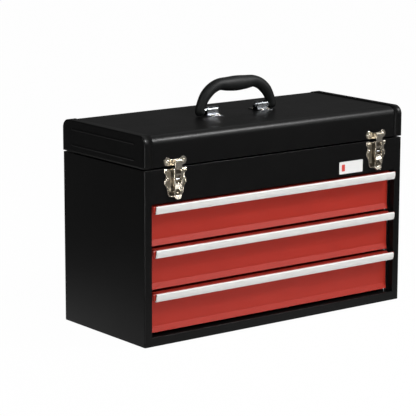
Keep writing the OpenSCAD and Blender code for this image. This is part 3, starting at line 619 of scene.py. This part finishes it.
@dataclass
class Studio:
    """White floor and surround, soft lamps and the camera."""

    camera_mm: Triple = (-1972.6, -2507.42, 819.0)  # the camera's position, solved from the photograph's own edges
    yaw: float = 37.4105  # direction of view from +Y towards +X, in degrees
    pitch: float = 11.587  # how far the view looks down, in degrees
    roll: float = 0.1184  # turn about the view, in degrees
    lens: float = 177.216  # focal length for a 36 mm wide frame
    floor_m: float = 12.0  # side of the floor
    floor_z: float = -0.2  # its height, just under the box
    floor_tone: str = "f2f2f2"  # sRGB hex of the floor as lamps light it
    floor_white: float = 0.985  # share of plain white in what the camera sees of it; the rest keeps the shadow
    glow: float = 0.25  # strength of the surround as lamps and coats see it
    mirror: float = 0.1  # share of the white surround that mirrors show
    table_m: Pair = (0.15, 0.7)  # distances from the box between which the floor that mirrors show fades
    table_glow: Pair = (1.0, 0.2)  # brightness of the near and the far floor as mirrors show it
    # soft boxes; each stands for one highlight or for the light from one side
    lamps: list[Lamp] = field(default_factory=lambda: [
        Lamp("key_box", (0.92, -1.15, 1.55), (-0.1, 0.0, 0.2), (0.5, 0.35), 18.0),
        Lamp("gleam_box", (0.92, -1.1, 1.5), (-0.25, -0.1, 0.3), (0.34, 0.3), 38.0, lights=False),
        Lamp("right_card", (1.4, -1.05, 1.5), (0.1, -0.1, 0.3), (0.6, 0.2), 5.0, lights=False),
        Lamp("over_card", (0.9, 0.35, 1.55), (0.0, -0.1, 0.3), (1.2, 0.8), 2.2, lights=False),
        Lamp("flare_box", (1.05, -1.35, 0.75), (0.0, -0.1, 0.12), (0.9, 0.12), 3.0, lights=False),
        Lamp("top_box", (-0.3, -1.3, 1.9), (-0.1, 0.0, 0.15), (2.2, 1.5), 22.0, mirrored=False),
        Lamp("corner_strip", (-0.9, -0.82, 0.1), (-0.25, -0.1, 0.28), (1.1, 0.1), 7.0, lights=False),
        Lamp("front_card", (-0.5, -2.6, 0.6), (0.0, 0.0, 0.15), (1.6, 0.9), 26.0, mirrored=False),
        Lamp("left_box", (-1.6, -0.5, 1.15), (0.0, 0.0, 0.3), (0.8, 0.8), 14.0, lights=False),
    ])

    def build(self) -> None:
        """Makes the floor, the surround, the lamps and the camera."""
        self.lay_floor()
        self.light_surround()
        for lamp in self.lamps:
            lamp.build()
        self.place_camera()

    def lay_floor(self) -> None:
        """A white floor whose lit part is white to the camera and which keeps the box's shadow."""
        half = self.floor_m / 2 / MM
        corners = np.array([(-half, -half), (half, -half), (half, half), (-half, half)])
        material = bpy.data.materials.new("white_floor")
        tree = cleared(material)
        glossy, seen = ray_kinds(tree)
        share = add_node(tree, "Math", {0: seen, 1: self.floor_white}, operation="MULTIPLY")
        lit = add_node(tree, "BsdfDiffuse", {"Color": linear(self.floor_tone)})
        white = add_node(tree, "Emission", {"Color": WHITE, "Strength": 1.0})
        mix = add_node(tree, "MixShader", {
            0: share.outputs["Value"], 1: lit.outputs["BSDF"], 2: white.outputs["Emission"]})
        place = add_node(tree, "TexCoord")
        radius = add_node(tree, "VectorMath", {0: place.outputs["Object"]}, operation="LENGTH")
        fade = add_node(tree, "MapRange", {
            "Value": radius.outputs["Value"], "From Min": self.table_m[0], "From Max": self.table_m[1],
            "To Min": self.table_glow[0], "To Max": self.table_glow[1]}, interpolation_type="SMOOTHSTEP")
        mirrored = add_node(tree, "Emission", {"Color": WHITE, "Strength": fade.outputs["Result"]})
        final = add_node(tree, "MixShader", {0: glossy, 1: mix.outputs["Shader"], 2: mirrored.outputs["Emission"]})
        add_node(tree, "OutputMaterial", {"Surface": final.outputs["Shader"]})
        new_piece("floor", np.insert(corners, 2, self.floor_z, axis=1), [(0, 1, 2, 3)], material)

    def light_surround(self) -> None:
        """White to the camera and through glass; mirrors see a small share of it, and it lights the box softly."""
        world = bpy.data.worlds.new("surround")
        bpy.context.scene.world = world
        tree = cleared(world)
        glossy, seen = ray_kinds(tree)
        soft, mirrored, white = (
            add_node(tree, "Background", {"Color": WHITE, "Strength": strength}).outputs[0]
            for strength in (self.glow, self.mirror, 1.0))
        inner = add_node(tree, "MixShader", {0: glossy, 1: soft, 2: mirrored})
        outer = add_node(tree, "MixShader", {0: seen, 1: inner.outputs[0], 2: white})
        add_node(tree, "OutputWorld", {"Surface": outer.outputs[0]})

    def place_camera(self) -> None:
        """Sets the camera that was solved from the photograph."""
        yaw, pitch = math.radians(self.yaw), math.radians(self.pitch)
        way = np.array([math.sin(yaw) * math.cos(pitch), math.cos(yaw) * math.cos(pitch), -math.sin(pitch)])
        data = bpy.data.cameras.new("camera")
        data.sensor_width = 36.0
        data.lens = self.lens
        data.clip_start, data.clip_end = 0.05, 50.0
        camera = linked("camera", data)
        camera.matrix_world = looking_along(np.array(self.camera_mm) * MM, way, self.roll)
        bpy.context.scene.camera = camera


# ---- Drawers ----


@dataclass
class DrawerFront:
    """A drawer's folded front: flared lower edge, flat panel, top flange and the lip that the pull hooks over."""

    number: int  # which drawer, 1 at the top
    material: Material
    panel_y: float = -95.0  # front face of the panel
    flare_out: float = 3.5  # how far the lower edge stands forward
    flare_h: float = 9.0  # height of the flared band
    lip_y: float = -110.5  # rear face of the lip
    lip_h: float = 9.0  # height of the flange and lip together
    panel_half: float = 238.0  # half width of the panel
    lip_half: float = 240.5  # half width of the flange and lip
    # how far the flange stands over the CAD one, so that it is level with the pull's top and shows
    flange_rise: float = 1.2
    taper: float = 7.0  # how much narrower each side of the flange is at the lip than at the panel
    bends: Triple = (0.8, 1.5, 0.8)  # inner radii of the crease, the top bend and the lip's bend
    corner: float = 3.0  # radius of the lip's lower corners
    sheet: float = 1.0  # thickness
    step: float = 0.6  # longest span of the profile

    def build(self) -> None:
        """Carries the front's profile along X; its half width is the panel's, then the lip's with rounded corners."""
        node = f"drawer_{self.number}_front"
        low, high = (corner[2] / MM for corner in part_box(node))
        top, end = high + self.flange_rise - self.sheet, high - self.lip_h
        corners = np.array([(self.panel_y - self.flare_out, low), (self.panel_y, low + self.flare_h),
                            (self.panel_y, top), (self.lip_y, top), (self.lip_y, end)])
        path = resampled(rounded(corners, self.bends), self.step)
        y, z = path.T
        deep = np.clip((self.panel_y - y) / (self.panel_y - self.lip_y - self.sheet), 0, 1)
        half = np.where(y < self.lip_y + self.sheet, self.lip_half, self.panel_half - self.taper * deep)
        half = corner_width(half, self.corner, np.where(y < self.lip_y + NEAR, z - end, self.corner))
        add_piece(f"drawer_{self.number}_red_front", sheet_along_x(path, self.sheet, half), self.material, node,
                  width_mm=0.22, outwards=False)


@dataclass
class DrawerPull:
    """The extruded strip along a drawer's top edge: a short leg, a slightly bowed face and a hook at its foot."""

    number: int  # which drawer it is on
    material: Material
    half: float = 237.5  # half of its length
    face_y: Pair = (-113.5, -111.9)  # rear of the face at the top and at the foot
    leg: float = 1.6  # depth of the top leg
    hook: float = 2.0  # depth of the foot's hook
    bow: float = 0.5  # how far the face bows out between top and foot
    bow_bend: float = 8.0  # radius of the bow's middle
    height: float = 12.3  # of the whole strip
    wall: float = 1.5  # thickness
    bend: float = 0.7  # inner radius of its bends
    corner: float = 2.5  # radius of the rounded ends
    step: float = 0.4  # longest span of the profile

    def build(self) -> None:
        """Carries the strip's profile along X; near its foot and top the half width follows a quarter circle."""
        node = f"drawer_{self.number}_pull"
        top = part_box(node)[1][2] / MM - self.wall
        foot = top + 2 * self.wall - self.height
        upper, lower = self.face_y
        corners = np.array([(upper + self.leg, top), (upper, top), ((upper + lower) / 2 - self.bow, (top + foot) / 2),
                            (lower, foot), (lower + self.hook, foot)])
        path = resampled(rounded(corners, (self.bend, self.bow_bend, self.bend), 8), self.step)
        edge = np.minimum(path[:, 1] - foot, top - path[:, 1]) + self.wall / 2
        half = corner_width(self.half, self.corner, edge)
        add_piece(f"drawer_{self.number}_metal_pull", sheet_along_x(path, self.wall, half), self.material, node,
                  width_mm=0.3, segments=3, outwards=False)


# ---- Lid ----


@dataclass
class LidSheet:
    """The lid's long sheet, bent over in an arch with a hem along its front and back edges."""

    material: Material
    half_y: float = 107.5  # half of its depth
    low_z: float = 271.0  # lower edge
    top_z: float = 319.0  # top face
    bend: float = 13.4  # outer radius of the two long bends
    hem: float = 6.0  # how far the lower edges are folded in
    hem_bend: float = 1.2  # outer radius of the hems
    half_x: float = 252.8  # half of its length, hidden under the end caps
    sheet: float = 1.0  # thickness

    def build(self) -> None:
        """Carries the arch along X: hem, front, bend, top, bend, back, hem."""
        y, low, top = self.half_y, self.low_z, self.top_z
        corners = np.array([(self.hem - y, low), (-y, low), (-y, top), (y, top), (y, low), (y - self.hem, low)])
        path = rounded(corners, (self.hem_bend, self.bend, self.bend, self.hem_bend), 16)
        add_piece("lid_bent_sheet", sheet_along_x(path, self.sheet, self.half_x), self.material, "lid_shell",
                  outwards=False)


@dataclass
class EndCap:
    """A stamped end of the lid: a flat face with two long pressed beads, a round edge and a flange over the sheet."""

    side: Side
    material: Material
    face_x: float = 255.0  # the face's distance from the middle
    half_y: float = 108.5  # half of the cap's depth
    low_z: float = 271.0  # lower edge
    top_z: float = 320.0  # top of the flange
    arch: float = 14.0  # radius of the upper corners
    edge: float = 2.0  # radius of the edge between face and flange
    flange: float = 15.5  # how far the flange reaches over the sheet
    beads: Pair = (11.0, 35.5)  # height of each bead over the lower edge
    bead_half: float = 81.7  # half of a bead's straight length
    bead_w: float = 2.2  # half width of a bead, foot to crest
    bead_h: float = 0.95  # how far a bead stands out
    bead_reach: float = 1.2  # how far the rows and columns that follow a bead go, in its half widths
    sheet: float = 1.0  # thickness

    def bead_relief(self, y: Array, z: Array) -> Array:
        """Height of the pressed beads: half a cosine wave of the distance from each bead's centre line.

        Args:
            y: depth of each point.
            z: height of each point.

        Returns:
            How far each point stands out.
        """
        off = np.maximum(np.abs(y) - self.bead_half, 0)
        gap = np.min([np.hypot(off, z - self.low_z - bead) for bead in self.beads], axis=0)
        return self.bead_h * (0.5 + 0.5 * np.cos(np.pi * np.clip(gap / self.bead_w, 0, 1)))

    def build(self) -> None:
        """Makes the face as a grid whose rows narrow along the arch, then turns its rim over into the flange."""
        node = self.side.word + "_end_cap"
        half, top, arch = self.half_y - self.edge, self.top_z - self.edge, self.arch - self.edge
        heights = [np.linspace(self.low_z, top - arch, 12), top - arch * (1 - np.sin(np.linspace(0, np.pi / 2, 14)))]
        beside = np.linspace(-self.bead_reach, self.bead_reach, 13) * self.bead_w
        heights += [self.low_z + bead + beside for bead in self.beads]
        z = np.unique(np.round(np.concatenate(heights), 3))
        width = corner_width(half, arch, top - z)
        ends = self.bead_half + np.linspace(-0.5, self.bead_reach, 12) * self.bead_w
        share = np.unique(np.concatenate([np.linspace(-1, 1, 25), ends / half, -ends / half]))
        y = width[:, None] * share
        z = np.repeat(z[:, None], len(share), axis=1)
        face = np.stack([np.full_like(y, self.face_x) + self.bead_relief(y, z), y, z], axis=-1)
        number = np.arange(face.shape[0] * face.shape[1]).reshape(face.shape[:2])
        rim = np.concatenate([number[:, 0], number[-1, 1:-1], number[::-1, -1]])
        outline = face.reshape(-1, 3)[rim]
        centre = np.stack([
            np.clip(outline[:, 1], arch - half, half - arch), np.minimum(outline[:, 2], top - arch)], axis=1)
        away = unit(outline[:, 1:] - centre)
        turn = np.linspace(0, np.pi / 2, 8)[1:, None, None]
        curl = np.concatenate([np.repeat(self.face_x - self.edge * (1 - np.cos(turn)), len(rim), axis=1),
                               outline[:, 1:] + away * self.edge * np.sin(turn)], axis=-1)
        flat = curl[-1:].copy()
        flat[..., 0] = self.face_x - self.flange
        rings = np.concatenate([curl, flat])
        belt = np.vstack([rim, number.size + np.arange(rings.shape[0] * len(rim)).reshape(rings.shape[0], -1)])
        points = np.concatenate([face.reshape(-1, 3), rings.reshape(-1, 3)])
        points[:, 0] *= self.side.value
        shape = points, quads(number) + quads(belt)
        add_piece(node + "_stamped", shape, self.material, node, angle=50, wall=(self.sheet, -1.0))


@dataclass
class LabelPlate:
    """The plain film plate on the cabinet's header, bare but for one small red field."""

    film: Material  # finish of the plate
    red: Material  # finish of the field
    low: Pair = (123.3, 221.3)  # x and z of its lower left corner
    high: Pair = (172.3, 240.9)  # x and z of its upper right corner
    face_y: float = -108.0  # the header's face
    thick: float = 0.35  # thickness of the film
    corner: float = 1.5  # radius of its corners
    field: Pair = (6.5, 11.0)  # width and height of the red field
    inset: float = 5.0  # distance of the field from the plate's left edge
    field_thick: float = 0.06  # how far the field stands out
    field_corner: float = 1.0  # radius of its corners
    sink: float = 0.02  # how far each layer reaches into the one under it

    def build(self) -> None:
        """Lofts the white plate and the red field forward, each from a little behind the face that it lies on."""
        low, field_size = np.array(self.low), np.array(self.field)
        size = np.array(self.high) - low
        start = low + (self.inset, (size - field_size)[1] / 2)
        square = np.array([(0, 0), (1, 0), (1, 1), (0, 1)])
        for name, material, corners, radius, rear, thick in (
                ("label_plate", self.film, low + size * square, self.corner, self.face_y, self.thick),
                ("label_field", self.red, start + field_size * square, self.field_corner, self.face_y - self.thick,
                 self.field_thick)):
            shape = slab(rounded_loop(corners, (radius,) * 4), (rear + self.sink, rear - thick), 1)
            add_piece(name, shape, material, "body_shell", stands_in=False)


# ---- Latches ----


@dataclass
class Latch:
    """A draw latch: pressed base, keeper on the lid, slotted lever and the stamped link between them."""

    side: Side
    steel: Material  # finish of its parts
    # the wings' finish is the nickel plate painted tan and duller as shade
    wing_steel: Material  # finish of the base's wings
    x: float = 199.0  # the latch's distance from the middle
    base_z: float = 268.5  # z that the base's outline is measured from
    base_y: float = -109.0  # front of the base's plate
    # right half of the base's outline, from its upper corner down
    base_outline: Outline = (
        (20.5, -1.5), (20.5, -6.5), (17.5, -9), (17, -13.5), (20, -17.5), (20, -23), (15.5, -30), (14.5, -38),
        (11.5, -43), (4, -44))
    base_round: tuple[float, ...] = (0.8, 1, 2, 2, 2.5, 3, 5, 4, 4, 4)  # radius of each of its corners
    rim: float = 0.9  # half width of the base's pressed rim
    rim_inset: float = 0.95  # distance of the rim's middle from the outline
    rim_flat: float = 0.8  # the rim's height as a share of its half width
    # z and outer half width of the base's wings, from the foot up
    wing: Outline = (
        (233.0, 11.2), (238.5, 12.6), (245.0, 16.2), (250.0, 17.6), (253.0, 16.0), (257.0, 14.6), (260.0, 15.6),
        (264.5, 18.2))
    wing_inner: float = 9.4  # half width at which the wings start
    # height of the wings at their ends and how much more they have in between, over wing_run
    wing_rise: Pair = (0.2, 1.4)
    wing_run: float = 1.5  # length of the slope at each end of a wing
    wing_slope: float = 0.62  # height halfway out as a share of the height at the middle
    wing_edge: float = 0.12  # height of the wings' outer edge
    wing_sink: float = 0.05  # how far the wings reach into the base
    # lower edge of the keeper, top of its middle and centre height of its round ends
    keeper_z: Triple = (271.8, 281.2, 278.6)
    keeper_ends: Pair = (14.5, 6.2)  # distance of the round ends from the middle and their radius
    keeper_y: float = -108.1  # middle of the keeper's plate
    keeper_thick: float = 1.1  # thickness of the keeper's plate
    # y and z of the tongue that the link hooks over, from its tip down
    tongue_path: Outline = ((-112.4, 280.9), (-112.4, 273.6), (-108.2, 273.6))
    tongue_bend: float = 1.0  # radius of its bend
    tongue_half: float = 5.7  # half width of the tongue
    # y and z of the link's centre line from its foot to the hook at its top
    link_path: Outline = (
        (-113.4, 242.4), (-116.0, 244.8), (-117.3, 250), (-117.3, 280.6), (-115.4, 281.6))
    link_bends: Triple = (1.5, 4.0, 0.8)  # radius of each of its bends
    # z and half width of the link, from its foot up
    link_half: Outline = (
        (241, 7.4), (244, 8.3), (267.6, 8.3), (269.6, 6.2), (279, 6.0), (282, 5.0))
    # lower z, upper z and half width of the link's two windows
    windows: tuple[Triple, ...] = ((245.8, 257.8, 5.7), (260.6, 267.4, 5.3))
    window_round: float = 1.2  # radius of their corners
    # y and z of the lever's centre line, from its top down
    lever_path: Outline = (
        (-114.6, 246.4), (-115.0, 244.2), (-117.4, 238.0), (-115.4, 234.6), (-115.0, 228.0), (-116.6, 222.0))
    lever_bends: tuple[float, ...] = (1.0, 2.5, 3.0, 3.0)  # radius of each of its bends
    # z and half width of the lever, from its tip up
    lever_half: Outline = (
        (222.0, 2.2), (222.5, 3.6), (223.5, 5.0), (225.5, 6.3), (228.0, 7.0), (231.0, 7.2), (234.5, 7.0),
        (238.0, 6.3), (241.0, 6.4), (243.6, 6.9), (246.4, 6.0))
    # lower and upper z of the lever's slot and its half width, which is also its corners' radius
    slot: Triple = (226.6, 237.8, 4.4)
    # y and z of the outline of the lever's side cheeks
    cheek: Outline = (
        (-116.6, 249.5), (-115.5, 254.6), (-111.4, 254.8), (-110.2, 250.5), (-110.6, 243.6), (-113.0, 236.6),
        (-115.0, 236.8), (-116.6, 241.0))
    cheek_round: tuple[float, ...] = (2.0, 2.4, 2.4, 2.0, 2.0, 0.8, 0.8, 1.5)  # radius of each of its corners
    cheek_x: float = 5.6  # distance of the cheeks from the middle
    thick: float = 1.0  # thickness of link, lever and tongue
    step: float = 0.4  # longest span along the link
    lever_step: float = 0.35  # longest span along the lever

    @property
    def middle(self) -> float:
        """The x of the latch's middle."""
        return self.side.value * self.x

    def node(self, part: str) -> str:
        """Name of one of the latch's nodes or pieces."""
        return f"{self.side.word}_{part}"

    def build_slotted(self, name: str, path: Array, outer: Array, inner: Array, node: str) -> None:
        """Makes a bent plate of two halves: each is a grid in equal steps from the slot's edge to the outer edge.

        Args:
            name: the piece's name.
            path: y and z of the plate's middle at each row.
            outer: half width at each row.
            inner: half width of the slot at each row, 0 where there is none.
            node: the CAD node that it stands for.
        """
        across = inner[:, None] + (outer - inner)[:, None] * np.linspace(0, 1, 5)
        y, z = (np.broadcast_to(column[:, None], across.shape) for column in path.T)
        points = np.concatenate([np.stack([self.middle + s * across, y, z], axis=-1).reshape(-1, 3) for s in (1, -1)])
        number = np.arange(across.size).reshape(across.shape)
        shape = points, quads(number) + quads(number[:, ::-1] + across.size)
        add_piece(name, shape, self.steel, node, width_mm=0.2, angle=40, wall=(self.thick, 0.0))

    def build_link(self) -> None:
        """The link: at each height it reaches from its windows' edge, or from its middle, to its own half width."""
        path = resampled(rounded(np.array(self.link_path), self.link_bends), self.step)
        z = path[:, 1]
        inner = sum(opening(z, *window, self.window_round) for window in self.windows)
        outer = np.interp(z, *np.array(self.link_half).T)
        self.build_slotted(self.node("latch_link"), path, outer, inner, self.node("latch_bail"))

    def build_lever(self) -> None:
        """The lever, made as the link is but with a round-ended slot, and the two cheeks that carry it on its pin."""
        path = resampled(rounded(np.array(self.lever_path), self.lever_bends), self.lever_step)[::-1]
        z = path[:, 1]
        outer = np.interp(z, *np.array(self.lever_half).T)
        inner = opening(z, *self.slot, self.slot[2])
        node = self.node("latch_lever")
        self.build_slotted(self.node("latch_plate"), path, outer, inner, node)
        loop = rounded_loop(np.array(self.cheek), self.cheek_round)
        for mark, way in (("inner", -1), ("outer", 1)):
            at = self.middle + way * self.cheek_x
            shape = slab(loop, (at - self.thick / 2, at + self.thick / 2), 0)
            add_piece(self.node("latch_cheek_" + mark), shape, self.steel, node, width_mm=0.2, stands_in=False)

    def build_keeper(self) -> None:
        """The keeper: at each x it reaches from its lower edge up to the middle's top or to the round end."""
        low, top, centre = self.keeper_z
        ends, radius = self.keeper_ends
        x = (ends + radius) * np.sin(np.linspace(-np.pi / 2, np.pi / 2, 97))
        bulge = np.sqrt(np.maximum(radius ** 2 - (np.abs(x) - ends) ** 2, 0))
        beyond = np.abs(x) > ends
        upper = np.where(beyond, centre + bulge, np.maximum(centre + bulge, top))
        lower = np.where(beyond, centre - bulge, low)
        z = lower[:, None] + (upper - lower)[:, None] * np.linspace(0, 1, 7)
        across = np.broadcast_to(self.middle + x[:, None], z.shape)
        grid = np.stack([across, np.full_like(z, self.keeper_y), z], axis=-1)
        shape = grid.reshape(-1, 3), quads(np.arange(z.size).reshape(z.shape))
        node = self.node("keeper")
        add_piece(node + "_plate", shape, self.steel, node, width_mm=0.25, segments=3, angle=40,
                  wall=(self.keeper_thick, 0.0))
        hook = rounded(np.array(self.tongue_path), (self.tongue_bend,))
        shape = sheet_along_x(hook, self.thick, self.tongue_half, self.middle)
        add_piece(node + "_tongue", shape, self.steel, node, width_mm=0.2, outwards=False, stands_in=False)

    def build_rim(self) -> None:
        """The base's pressed rim: a flat bead carried along the base's outline, a little inside its edge."""
        half = np.array(self.base_outline)
        whole = np.concatenate([half, half[::-1] * (-1, 1)])
        loop = rounded_loop(whole, self.base_round + self.base_round[::-1])
        inside = moved_aside(loop, self.rim_inset, closed=True) + (self.middle, self.base_z)
        path = np.insert(inside, 1, self.base_y, axis=1)
        shape = lofted(tube(path, self.rim, self.rim_flat), ends=False)
        add_piece(self.node("latch_rim"), shape, self.steel, self.node("latch_base"), stands_in=False)

    def build_wings(self) -> None:
        """The base's two wings: wedges that slope down from the middle to the rim, lofted along their height."""
        wide = np.array(self.wing)
        z = np.linspace(wide[0, 0], wide[-1, 0], 34)
        outer, inner = np.interp(z, *wide.T), np.full_like(z, self.wing_inner)
        ends = np.minimum(np.minimum(z - z[0], z[-1] - z) / self.wing_run, 1)
        rise = self.wing_rise[0] + self.wing_rise[1] * np.sqrt(ends)
        foot, edge = np.full_like(z, -self.wing_sink), np.full_like(z, self.wing_edge)
        depth = np.stack([foot, rise, rise * self.wing_slope, edge, foot], axis=1)
        for mark, way in (("inner", -1), ("outer", 1)):
            x = self.middle + way * np.stack([inner, inner, (inner + outer) / 2, outer, outer], axis=1)
            rings = np.stack([x, self.base_y - depth, np.broadcast_to(z[:, None], x.shape)], axis=-1)
            # the wings take the nickel plate painted darker as shade
            add_piece(self.node("latch_wing_" + mark), lofted(rings), self.wing_steel, self.node("latch_base"),
                      width_mm=0.15, stands_in=False)

    def build(self) -> None:
        """Builds the latch's own pieces; its base keeps the CAD shape."""
        self.build_wings()
        self.build_link()
        self.build_lever()
        self.build_keeper()
        self.build_rim()


# ---- Handle ----


@dataclass
class Handle:
    """The moulded handle on its two chromed brackets."""

    plastic: Material  # finish of the grip
    chrome: Material  # finish of the brackets
    pivot_z: float = 327.5  # height of its pins
    foot_x: float = 71.0  # distance of the feet from the middle
    foot_r: float = 7.9  # radius of the feet
    foot_turn: Pair = (8.0, 86.0)  # how far round each foot's first and last closing ring lie, in degrees
    foot_rings: int = 14  # how many rings close a foot
    foot_blunt: float = 0.4  # power of the cosine that narrows a foot in the grip's plane; below 1 is blunter
    # right half of the grip's sections: x, height over the pins, radius in its plane and across it
    keys: tuple[tuple[float, float, float, float], ...] = (
        (0, 38, 12, 11), (18, 38.2, 11, 10.6), (34, 38.6, 9.4, 9.6), (48, 33.5, 9.1, 9), (58.5, 25, 9.1, 8.6),
        (64.5, 17, 8.4, 8.2), (68.4, 9, 7.9, 7.9), (70.5, 3, 7.9, 7.9), (71, -0.5, 7.9, 7.9))
    fine: int = 24  # points worked out between two keys
    sides: int = 40  # points round the grip
    step: float = 0.55  # distance between sections
    # first and last x of the fine ribs on each shoulder, their spacing and height
    ribs: tuple[float, float, float, float] = (36.0, 60.0, 2.2, 0.12)
    rib_fade: float = 3.0  # length over which the ribs grow to that height
    seam: Pair = (0.02, 0.05)  # depth of the mould's parting line, as a share of the radius, and its width in radians
    bracket_x: Pair = (38.5, 60.5)  # inner and outer x of a bracket
    lid_z: float = 319.0  # the lid's top
    bore: float = 4.05  # radius of a bracket's bore
    strap: float = 1.5  # thickness of a bracket
    span: float = 17.0  # half depth of a bracket's flanges
    bends: tuple[float, ...] = (1.2, 0.6, 0.5, 0.5, 0.6)  # radius at the flange and at the band's four edges
    bead: float = 0.35  # how far the band pressed along a bracket's sides stands out
    # heights over the flange where the band starts, is full, starts to end and ends
    bead_z: tuple[float, ...] = (1.8, 2.6, 4.2, 5.0)
    rib: float = 0.75  # radius of the three ribs that are rolled round a bracket
    rib_inset: float = 0.9  # distance of the outer ribs from the bracket's edges

    def sections(self) -> Array:
        """Sections every step along a curve through the keys: cubics that pass each key parallel to its neighbours.

        Returns:
            Sections from the left foot to the right, in the terms of the keys.
        """
        half = np.array(self.keys)
        keys = np.concatenate([half[:0:-1] * (-1, 1, 1, 1), half])
        padded = np.concatenate([keys[:1], keys, keys[-1:]])
        t = np.linspace(0, 1, self.fine, endpoint=False)[None, :, None]
        a, b, c, d = (padded[k:k + len(keys) - 1][:, None] for k in range(4))
        curve = 0.5 * (2 * b + (c - a) * t + (2 * a - 5 * b + 4 * c - d) * t ** 2 + (3 * b - a - 3 * c + d) * t ** 3)
        curve = np.concatenate([curve.reshape(-1, 4), keys[-1:]])
        length = walked(curve[:, :2])
        return picked(curve, length, np.linspace(0, length[-1], int(length[-1] / self.step)))

    def build_grip(self) -> None:
        """Lofts ellipses along the grip; ribs are a sine of the length on the shoulders, and the feet close round."""
        body = self.sections()
        first, last, spacing, height = self.ribs
        way = np.gradient(body[:, :2], axis=0)
        length = walked(body[:, :2])
        reach = np.abs(body[:, 0])
        within = np.clip(np.minimum(reach - first, last - reach) / self.rib_fade, 0, 1)
        body[:, 2:] += (height * within * np.sin(2 * np.pi * length / spacing))[:, None]
        count = self.foot_rings
        angle = np.radians(np.linspace(*self.foot_turn, count))
        foot = np.column_stack([np.full(count, self.foot_x), -self.foot_r * np.sin(angle),
                                self.foot_r * np.cos(angle) ** self.foot_blunt, self.foot_r * np.cos(angle)])
        rings = np.concatenate([foot[::-1] * (-1, 1, 1, 1), body, foot])
        ways = unit(np.concatenate([np.tile((0.0, 1.0), (count, 1)), way, np.tile((0.0, -1.0), (count, 1))]))
        turn = np.linspace(0, 2 * np.pi, self.sides, endpoint=False)
        seam = 1 - self.seam[0] * np.exp(-(np.sin(turn) / self.seam[1]) ** 2)
        out = rings[:, 2:3] * np.cos(turn) * seam
        points = np.stack([rings[:, :1] - ways[:, 1:] * out, rings[:, 3:] * np.sin(turn),
                           self.pivot_z + rings[:, 1:2] + ways[:, :1] * out], axis=-1)
        add_piece("grip_moulding", lofted(points), self.plastic, "handle_grip", angle=60)

    def build_bracket(self, side: Side) -> None:
        """Bends a strap over the pin and out into two flanges, with a band pressed along each side.

        Args:
            side: which bracket.
        """
        outer, low, top = self.bore + self.strap, self.lid_z + self.strap, self.pivot_z
        proud = outer + self.bead
        start, full, fall, stop = (low + height for height in self.bead_z)
        rise = np.array([(-self.span, low), (-outer, low), (-outer, start), (-proud, full), (-proud, fall),
                         (-outer, stop), (-outer, top)])
        near = rounded(rise, self.bends)
        arch = np.linspace(np.pi, 0, 25)[1:-1]
        curve = np.stack([outer * np.cos(arch), top + outer * np.sin(arch)], axis=1)
        path = np.concatenate([near, curve, near[::-1] * (-1, 1)])
        inner, last = self.bracket_x
        middle = (inner + last) / 2
        node = side.word + "_handle_bracket"
        shape = sheet_along_x(path, self.strap, (last - inner) / 2, side.value * middle)
        add_piece(node + "_strap", shape, self.chrome, node, width_mm=0.35, segments=3)
        whole = np.concatenate([near[4:], curve, near[:3:-1] * (-1, 1)])
        for mark, x in enumerate((inner + self.rib_inset, middle, last - self.rib_inset)):
            line = np.insert(whole, 0, side.value * x, axis=1)
            shape = lofted(tube(line, self.rib, axis=(1.0, 0.0, 0.0), closed=False))
            add_piece(f"{node}_rib_{mark}", shape, self.chrome, node, stands_in=False)

    def build(self) -> None:
        """Builds the grip and both brackets; the pins keep their CAD shape."""
        self.build_grip()
        for side in Side:
            self.build_bracket(side)


# ---- The box ----


@dataclass
class Dresser:
    """Gives every CAD node that no piece stands for its own finish or a softened copy."""

    # the latch bases' material is the nickel plate painted dark as the shade in their recess
    materials: dict[str, Material]  # the materials by finish slot, and one for the latch bases
    # how far each kind of node's edges are rounded
    edge_mm: dict[str, float] = field(default_factory=lambda: {
        "body_shell": 0.5, "lid_shell": 0.4, "end_cap": 0.5, "drawer": 0.25, "latch": 0.25, "keeper": 0.3,
        "bracket": 0.35, "hinge": 0.3})
    plain_mm: float = 0.2  # the same for all others
    # kinds of node that stay as they are, because they are seen only through the gaps
    hidden: tuple[str, ...] = ("cage", "rail", "carrier")

    def build(self) -> None:
        """Dresses each node that is still shown."""
        for name, node in frame["nodes"].items():
            if node.hide_render:
                continue
            # the latch bases take the nickel plate painted dark as shade
            material = self.materials["latch_base" if "latch_base" in name else SLOT_OF[name]]
            if any(kind in name for kind in self.hidden):
                node.data.materials.clear()
                node.data.materials.append(material)
                LOG.info("%s keeps its CAD mesh", name)
            else:
                width = next((w for kind, w in self.edge_mm.items() if kind in name), self.plain_mm)
                merged_copy(name, material, width)


def main() -> None:
    """Builds the studio and the box."""
    logging.basicConfig(level=logging.INFO, format="%(message)s")
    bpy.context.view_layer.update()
    bpy.context.scene.view_settings.view_transform = "Standard"
    materials = {slot: finish.build() for slot, finish in FINISH_OF.items()}
    # the latch bases' nickel, painted dark as the shade in their recess
    materials["latch_base"] = SHADED_RECESS_NICKEL.build()
    Studio().build()
    for number in (1, 2, 3):
        DrawerFront(number, materials["red_coat"]).build()
        DrawerPull(number, materials["pull_aluminium"]).build()
    LidSheet(materials["black_coat"]).build()
    # the wings' nickel, painted tan and duller as shade
    wing_steel = SHADED_WING_NICKEL.build()
    for side in Side:
        EndCap(side, materials["black_coat"]).build()
        Latch(side, materials["nickel_steel"], wing_steel).build()
    LabelPlate(LABEL_FILM.build(), LABEL_RED.build()).build()
    Handle(materials["grip_plastic"], materials["chrome_steel"]).build()
    Dresser(materials).build()


if __name__ == "__main__":
    main()
